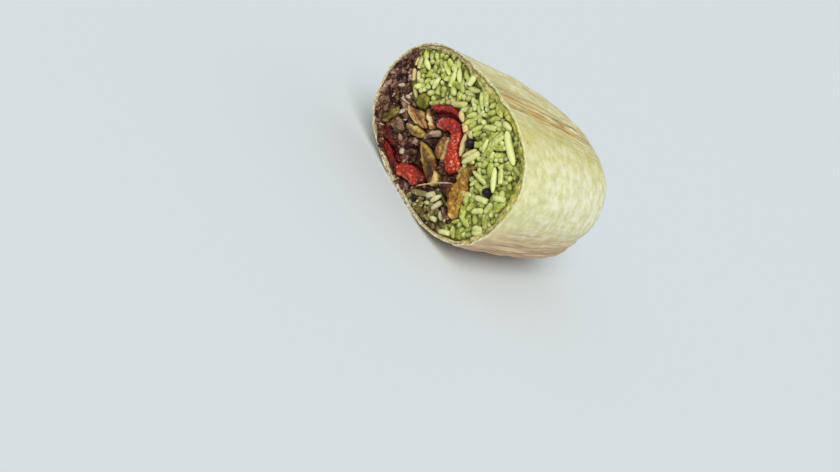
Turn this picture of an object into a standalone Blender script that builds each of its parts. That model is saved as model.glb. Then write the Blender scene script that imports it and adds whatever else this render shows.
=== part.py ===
"""Half of a rice, bean and pepper burrito, cut across and lying on its flat side.

Metres, +Z up. The cut faces -Y and the folded end faces +Y. The origin is under the
middle of the burrito, on the surface that it lies on.

Shapes across the roll are given in face places: x to the right and z up from the middle
of the cut, seen from the front. Depth is the distance behind the plane of the cut.
"""
import math

import bmesh
import bpy
from mathutils import Vector, noise

MM = 0.001

# The roll
HALF_WIDTH = 46.5 * MM       # of the cut, side to side
HALF_HEIGHT = 29.85 * MM     # of the cut, top to bottom
LENGTH = 86.5 * MM           # from the cut to the folded end
SQUARENESS = 2.37            # power of the section: 2 is an ellipse, more is boxier
RIGHT_SWELL = 0.04           # the right side is fuller than the left
TOP_PRESS = 0.029            # the top is a little flatter than the bottom
CORNER_PULL = 0.012          # pulls the right side round and the left side slack
WIDTH_TAPER = 0.197          # share of the width lost by the folded end
HEIGHT_TAPER = 0.114         # share of the height lost by the folded end
SIDE_DRIFT = -8.4 * MM       # the roll bends to the left towards the folded end
DROP = -3.5 * MM             # and its middle drops, so that the underside stays level
REST_HEIGHT = 29.9 * MM      # the middle of the cut over the surface it lies on
END_DEPTH = 30 * MM          # the stretch over which the folded end rounds off
END_POWER = 4                # how blunt the folded end is
LUMP = 0.6 * MM              # how far the filling pushes the skin out and in
LUMP_SIZE = 24 * MM
LUMP_START = 18 * MM         # depth at which the lumps reach their full height
RIM_WAVE = 0.35 * MM         # unevenness of the knife's cut round the rim

# The wall and the cuts
WALL = 2.0 * MM
GAP = 0.3 * MM               # kept between touching pieces
SIDES = 48                   # round the roll
STRAIGHT_RINGS = 5           # along the stretch before the folded end
END_RINGS = 8
RINGS = STRAIGHT_RINGS + END_RINGS
FRONT_RINGS = 8              # across the filling's cut
OUTLINE_STEPS = 2            # sides of an outline between two of its points
CRUMB = 0.001 * MM           # vertices closer than this are one

# The uneven cut of each filling: (mean depth, roughness, size of a lump, depth at the rim)
RICE_FRONT = (0.3 * MM, 2.4 * MM, 4.5 * MM, 0.9 * MM)
BEAN_FRONT = (2.3 * MM, 1.3 * MM, 5.5 * MM, 1.6 * MM)
RIM_ZONE = 0.90              # share of the way out at which the rim's depth takes over

# The beans' side of the cut, from the left wall over the vegetables to the bottom wall
BEAN_MASH = [
    (-50, 14), (-43.5, 13.2), (-39.6, 11.5), (-38, 8), (-34.8, 2.8), (-31, -0.8),
    (-27, -2.8), (-21.5, 0), (-18, 1.4), (-14.5, 3.4), (-8, 8.3), (-2, 7), (2.4, 4.2),
    (5.9, -0.1), (10, -3.8), (14.2, -4.3), (18.5, -3.4), (22, -8), (26, -13),
    (28.3, -16.3), (28.4, -19), (25.5, -18.9), (22, -16.8), (19, -15.6), (15, -15.3),
    (11.8, -17.3), (8, -20), (5.5, -23), (4.6, -26), (4.4, -30), (4, -40), (-50, -40),
]

# Strips in the filling: finish, outline across, depth of the front end, length, and how the
# front end slants to the right and upwards
STRIPS = {
    "red_pepper_curl": dict(
        finish="red_pepper",
        outline=[(-15, 3), (-12.3, 7), (-8, 9.6), (-2, 8.4), (3.3, 6.2), (7.7, 1.6),
                 (11, -0.4), (14.5, -2.6), (13.5, -6.8), (9.5, -8.2), (6, -6),
                 (4, -1.8), (1.5, 2.6), (-3, 5.8), (-8, 7.2), (-12.6, 3.4)],
        front=-0.3, length=58, slant=(0.02, -0.03)),
    "red_pepper_fold": dict(
        finish="red_pepper",
        outline=[(-8, 1.2), (-7.6, 3.6), (-5.3, 5.4), (-2.6, 4), (0.6, 2.2),
                 (-2, 1.1), (-5.5, 0.2)],
        front=1.6, length=50, slant=(0.05, 0.05)),
    "red_pepper_lower": dict(
        finish="red_pepper",
        outline=[(-9, -24), (-7, -21), (-4.3, -19.4), (-1, -18.8), (2, -19.2),
                 (4, -21.3), (3.2, -23.7), (0, -24.6), (-3.3, -25.6), (-6.5, -26.3)],
        front=0.4, length=62, slant=(-0.04, 0.05)),
    "red_pepper_edge": dict(
        finish="red_pepper",
        outline=[(-24.4, -22.4), (-20, -22.2), (-16, -23.6), (-14, -25.6),
                 (-17.5, -25.4), (-21.5, -24.3)],
        front=1.0, length=34, slant=(0.03, 0.02)),
    "yellow_pepper": dict(
        finish="yellow_pepper",
        outline=[(15.8, -2.2), (17.3, 1.6), (19, 2.9), (20.8, 1.4), (21.5, -2.8),
                 (25, -5), (27.5, -6.8), (28, -12), (30, -15), (29, -17.5),
                 (26.5, -17.2), (21, -14.2), (16, -11.9), (17.5, -7.4), (16.4, -4.9)],
        front=0.3, length=66, slant=(-0.03, 0.03)),
    "green_pepper": dict(
        finish="green_pepper",
        outline=[(-24.2, -1), (-24, 1.6), (-22.2, 3.6), (-20, 3), (-18.9, 0.8),
                 (-18.8, -1.5), (-20.4, -2.9), (-22.9, -3)],
        front=0.7, length=40, slant=(0.06, -0.05)),
    "onion_long": dict(
        finish="onion",
        outline=[(-7.3, -10.1), (-5, -9), (-1.3, -8.9), (2, -9.4), (5, -11),
                 (7.3, -12.4), (8.6, -15), (9, -16.9), (4.7, -16.3), (0, -15),
                 (-5, -12.4)],
        front=0.4, length=52, slant=(0.03, 0.08)),
    "onion_small": dict(
        finish="onion",
        outline=[(9.4, -12.4), (10.4, -11.7), (11.7, -13.2), (11.9, -14.8),
                 (10.8, -15.9), (9.9, -14.6)],
        front=0.8, length=30, slant=(0, 0.04)),
    "onion_centre": dict(
        finish="onion",
        outline=[(0.3, 1.2), (1.7, 0.3), (2.9, -1.8), (4, -4.2), (4.6, -6.3),
                 (3.6, -7.9), (0.8, -8.1), (-1.2, -6.2), (-2.2, -3.5), (-1.6, -0.8)],
        front=0.9, length=44, slant=(-0.05, -0.04)),
    "onion_slanted": dict(
        finish="onion",
        outline=[(-5.3, -0.7), (-3.5, -1.7), (-4.7, -4), (-7.2, -6.2), (-8.3, -8.5),
                 (-9.5, -7.6), (-9.2, -5.6), (-8, -3.5)],
        front=1.1, length=38, slant=(0.04, 0.04)),
    "onion_left": dict(
        finish="onion",
        outline=[(-25.6, -6), (-23, -4.8), (-20.5, -4.2), (-18.5, -3), (-15, -3.3),
                 (-11.2, -4.4), (-10.6, -5.8), (-14, -6.9), (-17.8, -7.9),
                 (-20.5, -8.3), (-23.2, -7.8)],
        front=0.6, length=48, slant=(0.03, -0.06)),
    "onion_yellow": dict(
        finish="onion",
        outline=[(-19, -10.2), (-17, -9.1), (-14.2, -8.3), (-11.8, -7.2),
                 (-10.6, -7.5), (-11, -9), (-12.6, -10.7), (-15, -11.6), (-18, -11.4)],
        front=0.5, length=46, slant=(-0.02, 0.05)),
    "onion_corner": dict(
        finish="onion",
        outline=[(-31.8, -12.5), (-29.8, -10.4), (-28, -11.7), (-27.6, -14),
                 (-28.8, -16), (-29.3, -18.4), (-31, -19.2), (-32.6, -18),
                 (-32.3, -15.6)],
        front=1.2, length=42, slant=(0.05, 0.03)),
    "bean_lump_left": dict(
        finish="bean_lump",
        outline=[(-26.3, -12.2), (-23, -11.4), (-20.2, -13.3), (-19.6, -16.3),
                 (-22.4, -18.4), (-25, -17.6), (-26.6, -15.2)],
        front=0.7, length=12, slant=(0, 0.02)),
    "bean_lump_middle": dict(
        finish="bean_lump",
        outline=[(-17, -1.2), (-14.5, -0.2), (-11, -0.6), (-8.7, -1.6), (-9.3, -2.7),
                 (-11.5, -3.1), (-14.5, -2.2)],
        front=0.8, length=10, slant=(0, -0.05)),
}

# Whole black beans at the cut, end on: middle across, and half its width, length and height
BEAN_HALF_SIZES = (2.2 * MM, 3.4 * MM, 2.1 * MM)
BLACK_BEANS = {
    "black_bean_top": (10.8, 7.3),
    "black_bean_right": (32.5, 1.5),
    "black_bean_low": (9.2, -25),
}
BEAN_DEPTH = 2.3 * MM        # of a bean's middle behind the cut
BEAN_SEGMENTS = 16
BEAN_RINGS = 8

# Colour, roughness and metallic value of each finish
FINISHES = {
    "tortilla": ((0.70, 0.66, 0.36), 0.75, 0.0),
    "rice": ((0.50, 0.60, 0.22), 0.45, 0.0),
    "bean_mash": ((0.085, 0.048, 0.036), 0.70, 0.0),
    "red_pepper": ((0.45, 0.035, 0.020), 0.30, 0.0),
    "yellow_pepper": ((0.45, 0.24, 0.055), 0.40, 0.0),
    "green_pepper": ((0.17, 0.17, 0.025), 0.35, 0.0),
    "onion": ((0.42, 0.30, 0.13), 0.35, 0.0),
    "bean_lump": ((0.22, 0.13, 0.095), 0.80, 0.0),
    "black_bean": ((0.010, 0.008, 0.008), 0.30, 0.0),
}


def clear_scene():
    """Start from nothing, whatever file the script runs in."""
    for thing in list(bpy.data.objects):
        bpy.data.objects.remove(thing, do_unlink=True)


def new_collection(name):
    collection = bpy.data.collections.new(name)
    bpy.context.scene.collection.children.link(collection)
    return collection


def finish(name):
    """A Principled material from the table of finishes."""
    colour, roughness, metallic = FINISHES[name]
    material = bpy.data.materials.new(name)
    material.use_nodes = True
    shader = material.node_tree.nodes["Principled BSDF"]
    shader.inputs["Base Color"].default_value = (*colour, 1.0)
    shader.inputs["Roughness"].default_value = roughness
    shader.inputs["Metallic"].default_value = metallic
    return material


def section_radius(angle):
    """From the middle of the cut to the skin: a rounded box, fuller on its right."""
    across = abs(math.cos(angle) / HALF_WIDTH) ** SQUARENESS
    upright = abs(math.sin(angle) / HALF_HEIGHT) ** SQUARENESS
    swell = RIGHT_SWELL * math.cos(angle) - TOP_PRESS * math.sin(angle)
    pull = CORNER_PULL * math.cos(3 * angle)
    return (across + upright) ** (-1 / SQUARENESS) * (1 + swell - pull)


def ring_depth(ring):
    """Depth of a ring of the skin, and how far the folded end has closed in there."""
    start = LENGTH - END_DEPTH
    if ring <= STRAIGHT_RINGS:
        return start * ring / STRAIGHT_RINGS, 1.0
    turn = math.pi / 2 * (ring - STRAIGHT_RINGS) / END_RINGS
    along = math.sin(turn) ** (2 / END_POWER)
    closing = max(math.cos(turn), 0.0) ** (2 / END_POWER)
    return start + END_DEPTH * along, closing


def lump_at(place):
    """Swelling of the skin over lumps in the filling, none at the cut."""
    strength = min(place.y / LUMP_START, 1.0)
    return LUMP * max(strength, 0.0) * noise.noise(place / LUMP_SIZE)


def skin_point(angle, ring):
    """A point of the outer skin, resting on its flattened underside."""
    depth, closing = ring_depth(ring)
    along = (depth / LENGTH) ** 2
    radius = section_radius(angle)
    across = math.cos(angle) * radius * (1 - WIDTH_TAPER * along) * closing
    upright = math.sin(angle) * radius * (1 - HEIGHT_TAPER * along) * closing
    place = Vector((across + SIDE_DRIFT * along, depth, upright + DROP * along))
    outward = Vector((math.cos(angle), 0, math.sin(angle)))
    place += outward * lump_at(place) * closing
    if ring == 0:
        place.y += RIM_WAVE * (math.sin(3 * angle + 1) + 0.5 * math.sin(8 * angle))
    place.z = max(place.z, -REST_HEIGHT)
    return place


def skin_surface():
    """The outer skin, open at the cut: the upper half of a ball, drawn over the roll."""
    surface = bmesh.new()
    bmesh.ops.create_uvsphere(surface, u_segments=SIDES, v_segments=2 * RINGS, radius=1)
    lower = [vertex for vertex in surface.verts if vertex.co.z < -CRUMB]
    bmesh.ops.delete(surface, geom=lower, context="VERTS")
    for vertex in surface.verts:
        latitude = math.asin(max(-1.0, min(1.0, vertex.co.z)))
        ring = round(latitude / (math.pi / 2) * RINGS)
        angle = math.atan2(-vertex.co.y, vertex.co.x)
        vertex.co = skin_point(angle, ring)
    surface.normal_update()
    return surface


def to_object(surface, name, collection):
    mesh = bpy.data.meshes.new(name)
    surface.to_mesh(mesh)
    surface.free()
    thing = bpy.data.objects.new(name, mesh)
    collection.objects.link(thing)
    return thing


def shade(thing, material):
    thing.data.materials.clear()
    thing.data.materials.append(material)
    thing.data.shade_smooth()
    thing.data.set_sharp_from_angle(angle=math.radians(40))


def make_tortilla(collection):
    """The wrap: the skin with its wall inside, open at the cut."""
    tortilla = to_object(skin_surface(), "tortilla", collection)
    wall = tortilla.modifiers.new("wall", "SOLIDIFY")
    wall.thickness = WALL
    wall.offset = -1
    wall.use_even_offset = False
    return tortilla


def cut_depth(x, z, outwards, front, seed):
    """Depth of a filling's rough cut, outwards being 0 in the middle and 1 at the wall."""
    mean, roughness, size, rim = front
    rough = roughness * noise.noise(Vector((x / size, z / size, seed)))
    rim_share = max(0.0, (outwards - RIM_ZONE) / (1 - RIM_ZONE))
    return (mean + rough) * (1 - rim_share) + rim * rim_share


def make_filling(name, collection, front, seed):
    """A solid that fills the tortilla, with an uneven surface at the cut."""
    body = skin_surface()
    for vertex in body.verts:
        vertex.co -= vertex.normal * (WALL + GAP)
    rim = [edge for edge in body.edges if edge.is_boundary]
    rim_verts = {vertex for edge in rim for vertex in edge.verts}
    middle = sum((vertex.co for vertex in rim_verts), Vector()) / len(rim_verts)
    reach = {vertex: vertex.co - middle for vertex in rim_verts}
    for vertex in rim_verts:
        vertex.co.y = cut_depth(vertex.co.x, vertex.co.z, 1.0, front, seed)
    for step in range(1, FRONT_RINGS + 1):
        outwards = 1 - step / FRONT_RINGS
        made = bmesh.ops.extrude_edge_only(body, edges=rim)["geom"]
        next_reach = {}
        for vertex in [item for item in made if isinstance(item, bmesh.types.BMVert)]:
            source = min(reach, key=lambda other: (other.co - vertex.co).length)
            next_reach[vertex] = reach[source]
        for vertex, spoke in next_reach.items():
            x = middle.x + spoke.x * outwards
            z = middle.z + spoke.z * outwards
            vertex.co = Vector((x, cut_depth(x, z, outwards, front, seed), z))
        rim = [item for item in made if isinstance(item, bmesh.types.BMEdge)]
        reach = next_reach
    bmesh.ops.remove_doubles(body, verts=body.verts, dist=CRUMB)
    bmesh.ops.recalc_face_normals(body, faces=body.faces)
    return to_object(body, name, collection)


def outline_prism(name, outline, front, length, collection, grow=0.0, slant=(0, 0)):
    """An outline across the roll, drawn out along it. Sizes in millimetres, but grow."""
    curve = bpy.data.curves.new(name, "CURVE")
    curve.dimensions = "2D"
    curve.fill_mode = "BOTH"
    curve.extrude = length * MM / 2
    curve.resolution_u = OUTLINE_STEPS
    curve.offset = grow
    spline = curve.splines.new("BEZIER")
    spline.bezier_points.add(len(outline) - 1)
    spline.use_cyclic_u = True
    for point, (x, z) in zip(spline.bezier_points, outline):
        point.co = (x * MM, z * MM, 0)
        point.handle_left_type = "AUTO"
        point.handle_right_type = "AUTO"
    drawn = bpy.data.objects.new(name + "_outline", curve)
    collection.objects.link(drawn)
    bpy.context.view_layer.update()
    mesh = bpy.data.meshes.new_from_object(drawn.evaluated_get(
        bpy.context.evaluated_depsgraph_get()))
    bpy.data.objects.remove(drawn)
    prism = bmesh.new()
    prism.from_mesh(mesh)
    bpy.data.meshes.remove(mesh)
    bmesh.ops.remove_doubles(prism, verts=prism.verts, dist=CRUMB)
    middle_x = sum(x for x, _ in outline) / len(outline) * MM
    middle_z = sum(z for _, z in outline) / len(outline) * MM
    for vertex in prism.verts:
        x, z, towards_front = vertex.co
        depth = (front + length / 2) * MM - towards_front
        if towards_front > 0:
            depth += slant[0] * (x - middle_x) + slant[1] * (z - middle_z)
        vertex.co = (x, depth, z)
    bmesh.ops.recalc_face_normals(prism, faces=prism.faces)
    return to_object(prism, name, collection)


def make_bean(name, place, collection, grow=0.0):
    """A black bean lying along the roll."""
    bean = bmesh.new()
    bmesh.ops.create_uvsphere(
        bean, u_segments=BEAN_SEGMENTS, v_segments=BEAN_RINGS, radius=1)
    sizes = [half + grow for half in BEAN_HALF_SIZES]
    for vertex in bean.verts:
        x, y, z = (part * size for part, size in zip(vertex.co, sizes))
        vertex.co = (x + place[0] * MM, y + BEAN_DEPTH, z + place[1] * MM)
    return to_object(bean, name, collection)


def hide_cutter(cutter):
    cutter.hide_render = True
    cutter.display_type = "WIRE"
    return cutter


def carve(thing, cutter, operation):
    cut = thing.modifiers.new(cutter.name, "BOOLEAN")
    cut.operation = operation
    cut.solver = "EXACT"
    cut.object = cutter


def settle(thing):
    """Apply the cuts and keep the one large body, without the crumbs the cuts leave."""
    bpy.context.view_layer.update()
    cut = bmesh.new()
    cut.from_object(thing, bpy.context.evaluated_depsgraph_get())
    bmesh.ops.remove_doubles(cut, verts=cut.verts, dist=CRUMB)
    bmesh.ops.dissolve_degenerate(cut, edges=cut.edges, dist=CRUMB)
    unseen = set(cut.verts)
    bodies = []
    while unseen:
        body = {unseen.pop()}
        edge_of_body = set(body)
        while edge_of_body:
            near = {edge.other_vert(v) for v in edge_of_body for edge in v.link_edges}
            edge_of_body = near & unseen
            unseen -= edge_of_body
            body |= edge_of_body
        bodies.append(body)
    largest = max(bodies, key=len)
    crumbs = [vertex for vertex in cut.verts if vertex not in largest]
    bmesh.ops.delete(cut, geom=crumbs, context="VERTS")
    thing.modifiers.clear()
    cut.to_mesh(thing.data)
    cut.free()


def place_on_origin(collection):
    """Stand everything over the origin, by an empty that carries all the pieces."""
    bpy.context.view_layer.update()
    corners = []
    for thing in collection.objects:
        seen = thing.evaluated_get(bpy.context.evaluated_depsgraph_get())
        corners += [Vector(corner) for corner in seen.bound_box]
    middle = [(min(c[axis] for c in corners) + max(c[axis] for c in corners)) / 2
              for axis in (0, 1)]
    base = bpy.data.objects.new("burrito_base", None)
    collection.objects.link(base)
    base.location = (-middle[0], -middle[1], REST_HEIGHT)
    for thing in collection.objects:
        if thing is not base:
            thing.parent = base


def build():
    clear_scene()
    parts = new_collection("burrito")
    cutters = new_collection("cutters")
    finishes = {name: finish(name) for name in FINISHES}

    tortilla = make_tortilla(parts)
    rice = make_filling("rice", parts, RICE_FRONT, seed=3.0)
    mash = make_filling("bean_mash", parts, BEAN_FRONT, seed=11.0)
    shade(tortilla, finishes["tortilla"])

    through = dict(front=-10, length=120, collection=cutters)
    beans_side = outline_prism("beans_side", BEAN_MASH, **through)
    beans_room = outline_prism("beans_room", BEAN_MASH, grow=GAP, **through)
    carve(mash, hide_cutter(beans_side), "INTERSECT")
    carve(rice, hide_cutter(beans_room), "DIFFERENCE")

    for name, strip in STRIPS.items():
        piece = outline_prism(name, strip["outline"], strip["front"], strip["length"],
                              parts, slant=strip["slant"])
        room = outline_prism(name + "_room", strip["outline"], -10,
                             strip["length"] + strip["front"] + 10 + GAP / MM,
                             cutters, grow=GAP)
        hide_cutter(room)
        carve(mash, room, "DIFFERENCE")
        carve(rice, room, "DIFFERENCE")
        shade(piece, finishes[strip["finish"]])

    for name, place in BLACK_BEANS.items():
        bean = make_bean(name, place, parts)
        carve(rice, hide_cutter(make_bean(name + "_room", place, cutters, GAP)),
              "DIFFERENCE")
        shade(bean, finishes["black_bean"])

    for filling, kind in ((rice, "rice"), (mash, "bean_mash")):
        settle(filling)
        shade(filling, finishes[kind])
    place_on_origin(parts)


build()
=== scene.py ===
# %% [markdown]
# # Half of a rice, bean and pepper burrito
# The wrap is a wheat tortilla, rolled round green rice, mashed beans, and soft strips of
# pepper and onion, then cut across. The cut faces the viewer and the folded end lies behind.
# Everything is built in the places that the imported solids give, so it needs no fitting.

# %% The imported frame
import math

import bmesh
import bpy
import numpy as np
from mathutils import Euler, Matrix, Vector, geometry, noise


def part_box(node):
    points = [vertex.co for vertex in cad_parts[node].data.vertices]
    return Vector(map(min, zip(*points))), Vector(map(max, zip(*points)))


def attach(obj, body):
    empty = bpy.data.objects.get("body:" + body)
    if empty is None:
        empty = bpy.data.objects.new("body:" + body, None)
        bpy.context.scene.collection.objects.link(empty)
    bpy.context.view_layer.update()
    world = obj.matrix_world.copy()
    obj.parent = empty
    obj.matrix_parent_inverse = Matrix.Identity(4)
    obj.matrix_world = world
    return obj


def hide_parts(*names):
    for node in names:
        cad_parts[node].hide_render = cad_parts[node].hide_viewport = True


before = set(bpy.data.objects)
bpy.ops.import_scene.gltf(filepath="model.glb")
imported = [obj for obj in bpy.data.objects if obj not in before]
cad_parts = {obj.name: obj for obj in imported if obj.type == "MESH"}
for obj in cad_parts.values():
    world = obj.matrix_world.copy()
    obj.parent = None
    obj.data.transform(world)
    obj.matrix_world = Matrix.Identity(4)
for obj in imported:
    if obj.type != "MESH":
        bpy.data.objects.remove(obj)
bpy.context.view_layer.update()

MM = 0.001

# %% [markdown]
# The roll has one rule for its shape: a rounded box of a section, which gets smaller, drifts
# to the left and drops a little on its way to the folded end. The same rule places the skin,
# the layers inside it and the strips that run through the roll. Lengths are in millimetres,
# measured from the middle of the cut: x to the right, depth behind the cut, and z up.

# %% Sizes of the roll
HALF_WIDTH, HALF_HEIGHT = 46.5, 29.85
LENGTH, END_DEPTH, END_POWER = 86.5, 30.0, 4
SQUARENESS = 2.37
RIGHT_SWELL, TOP_PRESS, CORNER_PULL = 0.04, 0.029, 0.012
WIDTH_TAPER, HEIGHT_TAPER = 0.197, 0.114
SIDE_DRIFT, DROP = -8.4, -3.5
REST_HEIGHT = 29.9
LUMP, LUMP_SIZE, LUMP_START = 0.6, 24.0, 18.0


def section_radius(angle):
    """From the middle of a section to the skin, at an angle in radians."""
    box = (abs(np.cos(angle) / HALF_WIDTH) ** SQUARENESS
           + abs(np.sin(angle) / HALF_HEIGHT) ** SQUARENESS) ** (-1 / SQUARENESS)
    swell = RIGHT_SWELL * np.cos(angle) - TOP_PRESS * np.sin(angle)
    return box * (1 + swell - CORNER_PULL * np.cos(3 * angle))


def closing_at(depth):
    """1 along the roll, and down to 0 where the folded end has closed."""
    into = np.clip((depth - (LENGTH - END_DEPTH)) / END_DEPTH, 0, 1)
    return (1 - into ** END_POWER) ** (1 / END_POWER)


def along_roll(x, z, depth, closing=None):
    """Carries a place of the cut back along the roll."""
    closing = closing_at(depth) if closing is None else closing
    share = (depth / LENGTH) ** 2
    return np.stack([x * (1 - WIDTH_TAPER * share) * closing + SIDE_DRIFT * share,
                     depth + 0 * x,
                     z * (1 - HEIGHT_TAPER * share) * closing + DROP * share], -1)


round_angles = np.radians(np.arange(0, 360, 7.5))
widest = float(np.max(np.cos(round_angles) * section_radius(round_angles)))
wrap_low, wrap_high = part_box("tortilla")
FACE = np.array([wrap_high[0] - widest * MM, wrap_high[1] - LENGTH * MM, REST_HEIGHT * MM])
print("middle of the cut:", FACE.round(4), "m")

# %% [markdown]
# The camera stands to the right of the cut, a little above it, and is turned on its side by
# nearly half a right angle, so the roll points down to the lower right of the picture. It is
# made from the point that it looks at, a heading, a height and a roll, because these are easier
# to read and change than a matrix.

# %% Camera
AIM = (27.05, -3.85, -29.75)
HEADING, HEIGHT_ANGLE, ROLL = 36.09, 22.79, 42.97
CAMERA_DISTANCE = 470.0

camera_data = bpy.data.cameras.new("camera")
camera_data.lens, camera_data.sensor_width = 52.07, 36.0
camera = bpy.data.objects.new("camera", camera_data)
bpy.context.scene.collection.objects.link(camera)
bpy.context.scene.camera = camera
heading, lift = math.radians(HEADING), math.radians(HEIGHT_ANGLE)
back = Vector((math.sin(heading) * math.cos(lift), -math.cos(heading) * math.cos(lift),
               math.sin(lift)))
turn = back.to_track_quat("Z", "Y") @ Euler((0, 0, math.radians(ROLL))).to_quaternion()
camera.rotation_euler = turn.to_euler()
camera.location = Vector(FACE + np.array(AIM) * MM) + back * CAMERA_DISTANCE * MM
print("camera at", [round(v, 3) for v in camera.location])

# %% [markdown]
# Food is best seen in soft light from a large window. One broad sun, high on the right, makes
# the flank bright and throws a soft shadow, and an even pale world keeps the shadows open. A
# sun lights the whole floor evenly, which a lamp close by doesn't do. The floor is one large
# plain pale surface.

# %% Floor, world and lamps
scene = bpy.context.scene
scene.view_settings.view_transform = "Standard"
scene.view_settings.look = "None"


def show(red, green, blue):
    """A colour as a screen shows it, 0 to 255, turned into a linear one."""
    parts = np.array([red, green, blue]) / 255
    return tuple(np.where(parts < 0.04045, parts / 12.92,
                          ((parts + 0.055) / 1.055) ** 2.4).tolist()) + (1.0,)


world = bpy.data.worlds.new("pale_room")
world.use_nodes = True
sky = world.node_tree.nodes["Background"]
sky.inputs["Color"].default_value = show(236, 240, 243)
sky.inputs["Strength"].default_value = 0.60
scene.world = world

floor_mesh = bpy.data.meshes.new("floor")
reach = 6.0
floor_mesh.from_pydata([(-reach, -reach, 0), (reach, -reach, 0), (reach, reach, 0),
                        (-reach, reach, 0)], [], [(0, 1, 2, 3)])
floor = bpy.data.objects.new("floor", floor_mesh)
scene.collection.objects.link(floor)
floor_finish = bpy.data.materials.new("floor")
floor_finish.use_nodes = True
floor_shader = floor_finish.node_tree.nodes["Principled BSDF"]
floor_shader.inputs["Base Color"].default_value = show(217, 225, 230)
floor_shader.inputs["Roughness"].default_value = 0.9
floor_shader.inputs["Specular IOR Level"].default_value = 0.1
floor_mesh.materials.append(floor_finish)


SUN_FROM = Vector((0.46, -0.52, 0.72))       # direction towards the sun
sun_data = bpy.data.lights.new("window", "SUN")
sun_data.energy, sun_data.angle = 2.0, math.radians(38)
sun_data.color = show(255, 252, 244)[:3]
sun = bpy.data.objects.new("window", sun_data)
scene.collection.objects.link(sun)
sun.rotation_euler = SUN_FROM.to_track_quat("Z", "Y").to_euler()
print("sun:", sun_data.energy, "watts for each square metre")

# %% [markdown]
# Each finish is a node tree on one Principled shader. Three small helpers keep the trees
# short: one adds a node with its settings, one mixes two colours, and one turns a grey pattern
# into a mask by its two limits. Patterns run on Object coordinates, which are metres here, so
# a noise scale of 500 gives patches of about 2 mm.


# %% Helpers for finishes
def add(tree, kind, inputs=None, **settings):
    made = tree.nodes.new("ShaderNode" + kind)
    for setting, value in settings.items():
        setattr(made, setting, value)
    for socket, value in (inputs or {}).items():
        if isinstance(value, bpy.types.NodeSocket):
            tree.links.new(value, made.inputs[socket])
        else:
            made.inputs[socket].default_value = value
    return made


def blend(tree, factor, first, second, mode="MIX"):
    """Colour first where the factor is 0, and second where it is 1."""
    mixer = add(tree, "Mix", {0: factor, 6: first, 7: second}, data_type="RGBA",
                blend_type=mode)
    return mixer.outputs[2]


def limits(tree, value, low, high, to_low=0.0, to_high=1.0):
    """A value stretched from low..high to to_low..to_high, and kept inside them."""
    made = add(tree, "MapRange", {"Value": value, "From Min": low, "From Max": high,
                                  "To Min": to_low, "To Max": to_high})
    return made.outputs[0]


def speckle(tree, where, scale, detail=3.0, roughness=0.55, stretch=(1, 1, 1)):
    """Cloudy noise, 0 to 1, on coordinates that may be stretched."""
    placed = add(tree, "Mapping", {"Vector": where, "Scale": stretch}).outputs[0]
    made = add(tree, "TexNoise", {"Vector": placed, "Scale": scale, "Detail": detail,
                                  "Roughness": roughness})
    return made.outputs[0]


def times(tree, first, second, kind="MULTIPLY"):
    return add(tree, "Math", {0: first, 1: second}, operation=kind).outputs[0]


def read(tree, attribute):
    """A value that the mesh carries at each of its points."""
    return add(tree, "Attribute", attribute_name=attribute).outputs["Fac"]


def start_finish(name, roughness, **sockets):
    """An empty finish: its material, tree, shader and Object coordinates."""
    material = bpy.data.materials.new(name)
    material.use_nodes = True
    tree = material.node_tree
    shader = tree.nodes["Principled BSDF"]
    shader.inputs["Roughness"].default_value = roughness
    for socket, value in sockets.items():
        shader.inputs[socket.replace("_", " ")].default_value = value
    where = add(tree, "TexCoord").outputs["Object"]
    return material, tree, shader, where


def relief(tree, shader, height, distance, strength=1.0):
    """Fine relief from a grey pattern. The distance is in millimetres."""
    bump = add(tree, "Bump", {"Height": height, "Distance": distance * MM,
                              "Strength": strength})
    tree.links.new(bump.outputs[0], shader.inputs["Normal"])


def colour_from(tree, shader, colour):
    tree.links.new(colour, shader.inputs["Base Color"])


# %% [markdown]
# Most pieces are made as lists of places and faces, because their shape follows a rule. One
# helper turns the lists into a closed, outward-facing piece that rides on the burrito's body
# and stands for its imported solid. Values that change over a piece, such as how toasted the
# skin is, are stored at its points, and the finish reads them by name.


# %% Helpers for pieces
def make_piece(name, places, faces, finish, values=None, ragged=False):
    """A mesh from places in millimetres from the middle of the cut."""
    mesh = bpy.data.meshes.new(name)
    mesh.from_pydata((np.asarray(places) * MM + FACE).tolist(), [], faces)
    for key, numbers in (values or {}).items():
        stored = mesh.attributes.new(key, "FLOAT", "POINT")
        stored.data.foreach_set("value", np.asarray(numbers, dtype=np.float32))
    shell = bmesh.new()
    shell.from_mesh(mesh)
    bmesh.ops.recalc_face_normals(shell, faces=shell.faces)
    shell.to_mesh(mesh)
    shell.free()
    mesh.materials.append(finish)
    mesh.shade_smooth()
    piece = bpy.data.objects.new(name, mesh)
    scene.collection.objects.link(piece)
    return piece


def stand_for(piece, slot, *nodes):
    """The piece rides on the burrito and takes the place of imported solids."""
    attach(piece, "root")
    if nodes:
        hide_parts(*nodes)
    triangles = sum(len(face.vertices) - 2 for face in piece.data.polygons)
    print(piece.name, "has", triangles, "triangles")


def band_faces(rows, columns, closed=True):
    """Quads between rows of points that run one after another."""
    last = columns if closed else columns - 1
    return [(row * columns + i, row * columns + (i + 1) % columns,
             (row + 1) * columns + (i + 1) % columns, (row + 1) * columns + i)
            for row in range(rows - 1) for i in range(last)]


def rough(x, z, size, seed, y=0.0):
    """Soft random numbers, about -1 to 1, in lumps of a size in millimetres."""
    x, y, z = np.broadcast_arrays(x, y, z)
    flat = [noise.noise(Vector((a / size + seed * 7.31, b / size, c / size)))
            for a, b, c in zip(x.ravel(), y.ravel(), z.ravel())]
    return np.array(flat).reshape(x.shape)


def bell(distance, width):
    return np.exp(-(distance / width) ** 2)


def ease(value, low, high):
    """A smooth step from 0 at low to 1 at high."""
    share = np.clip((value - low) / (high - low), 0, 1)
    return share * share * (3 - 2 * share)


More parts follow.
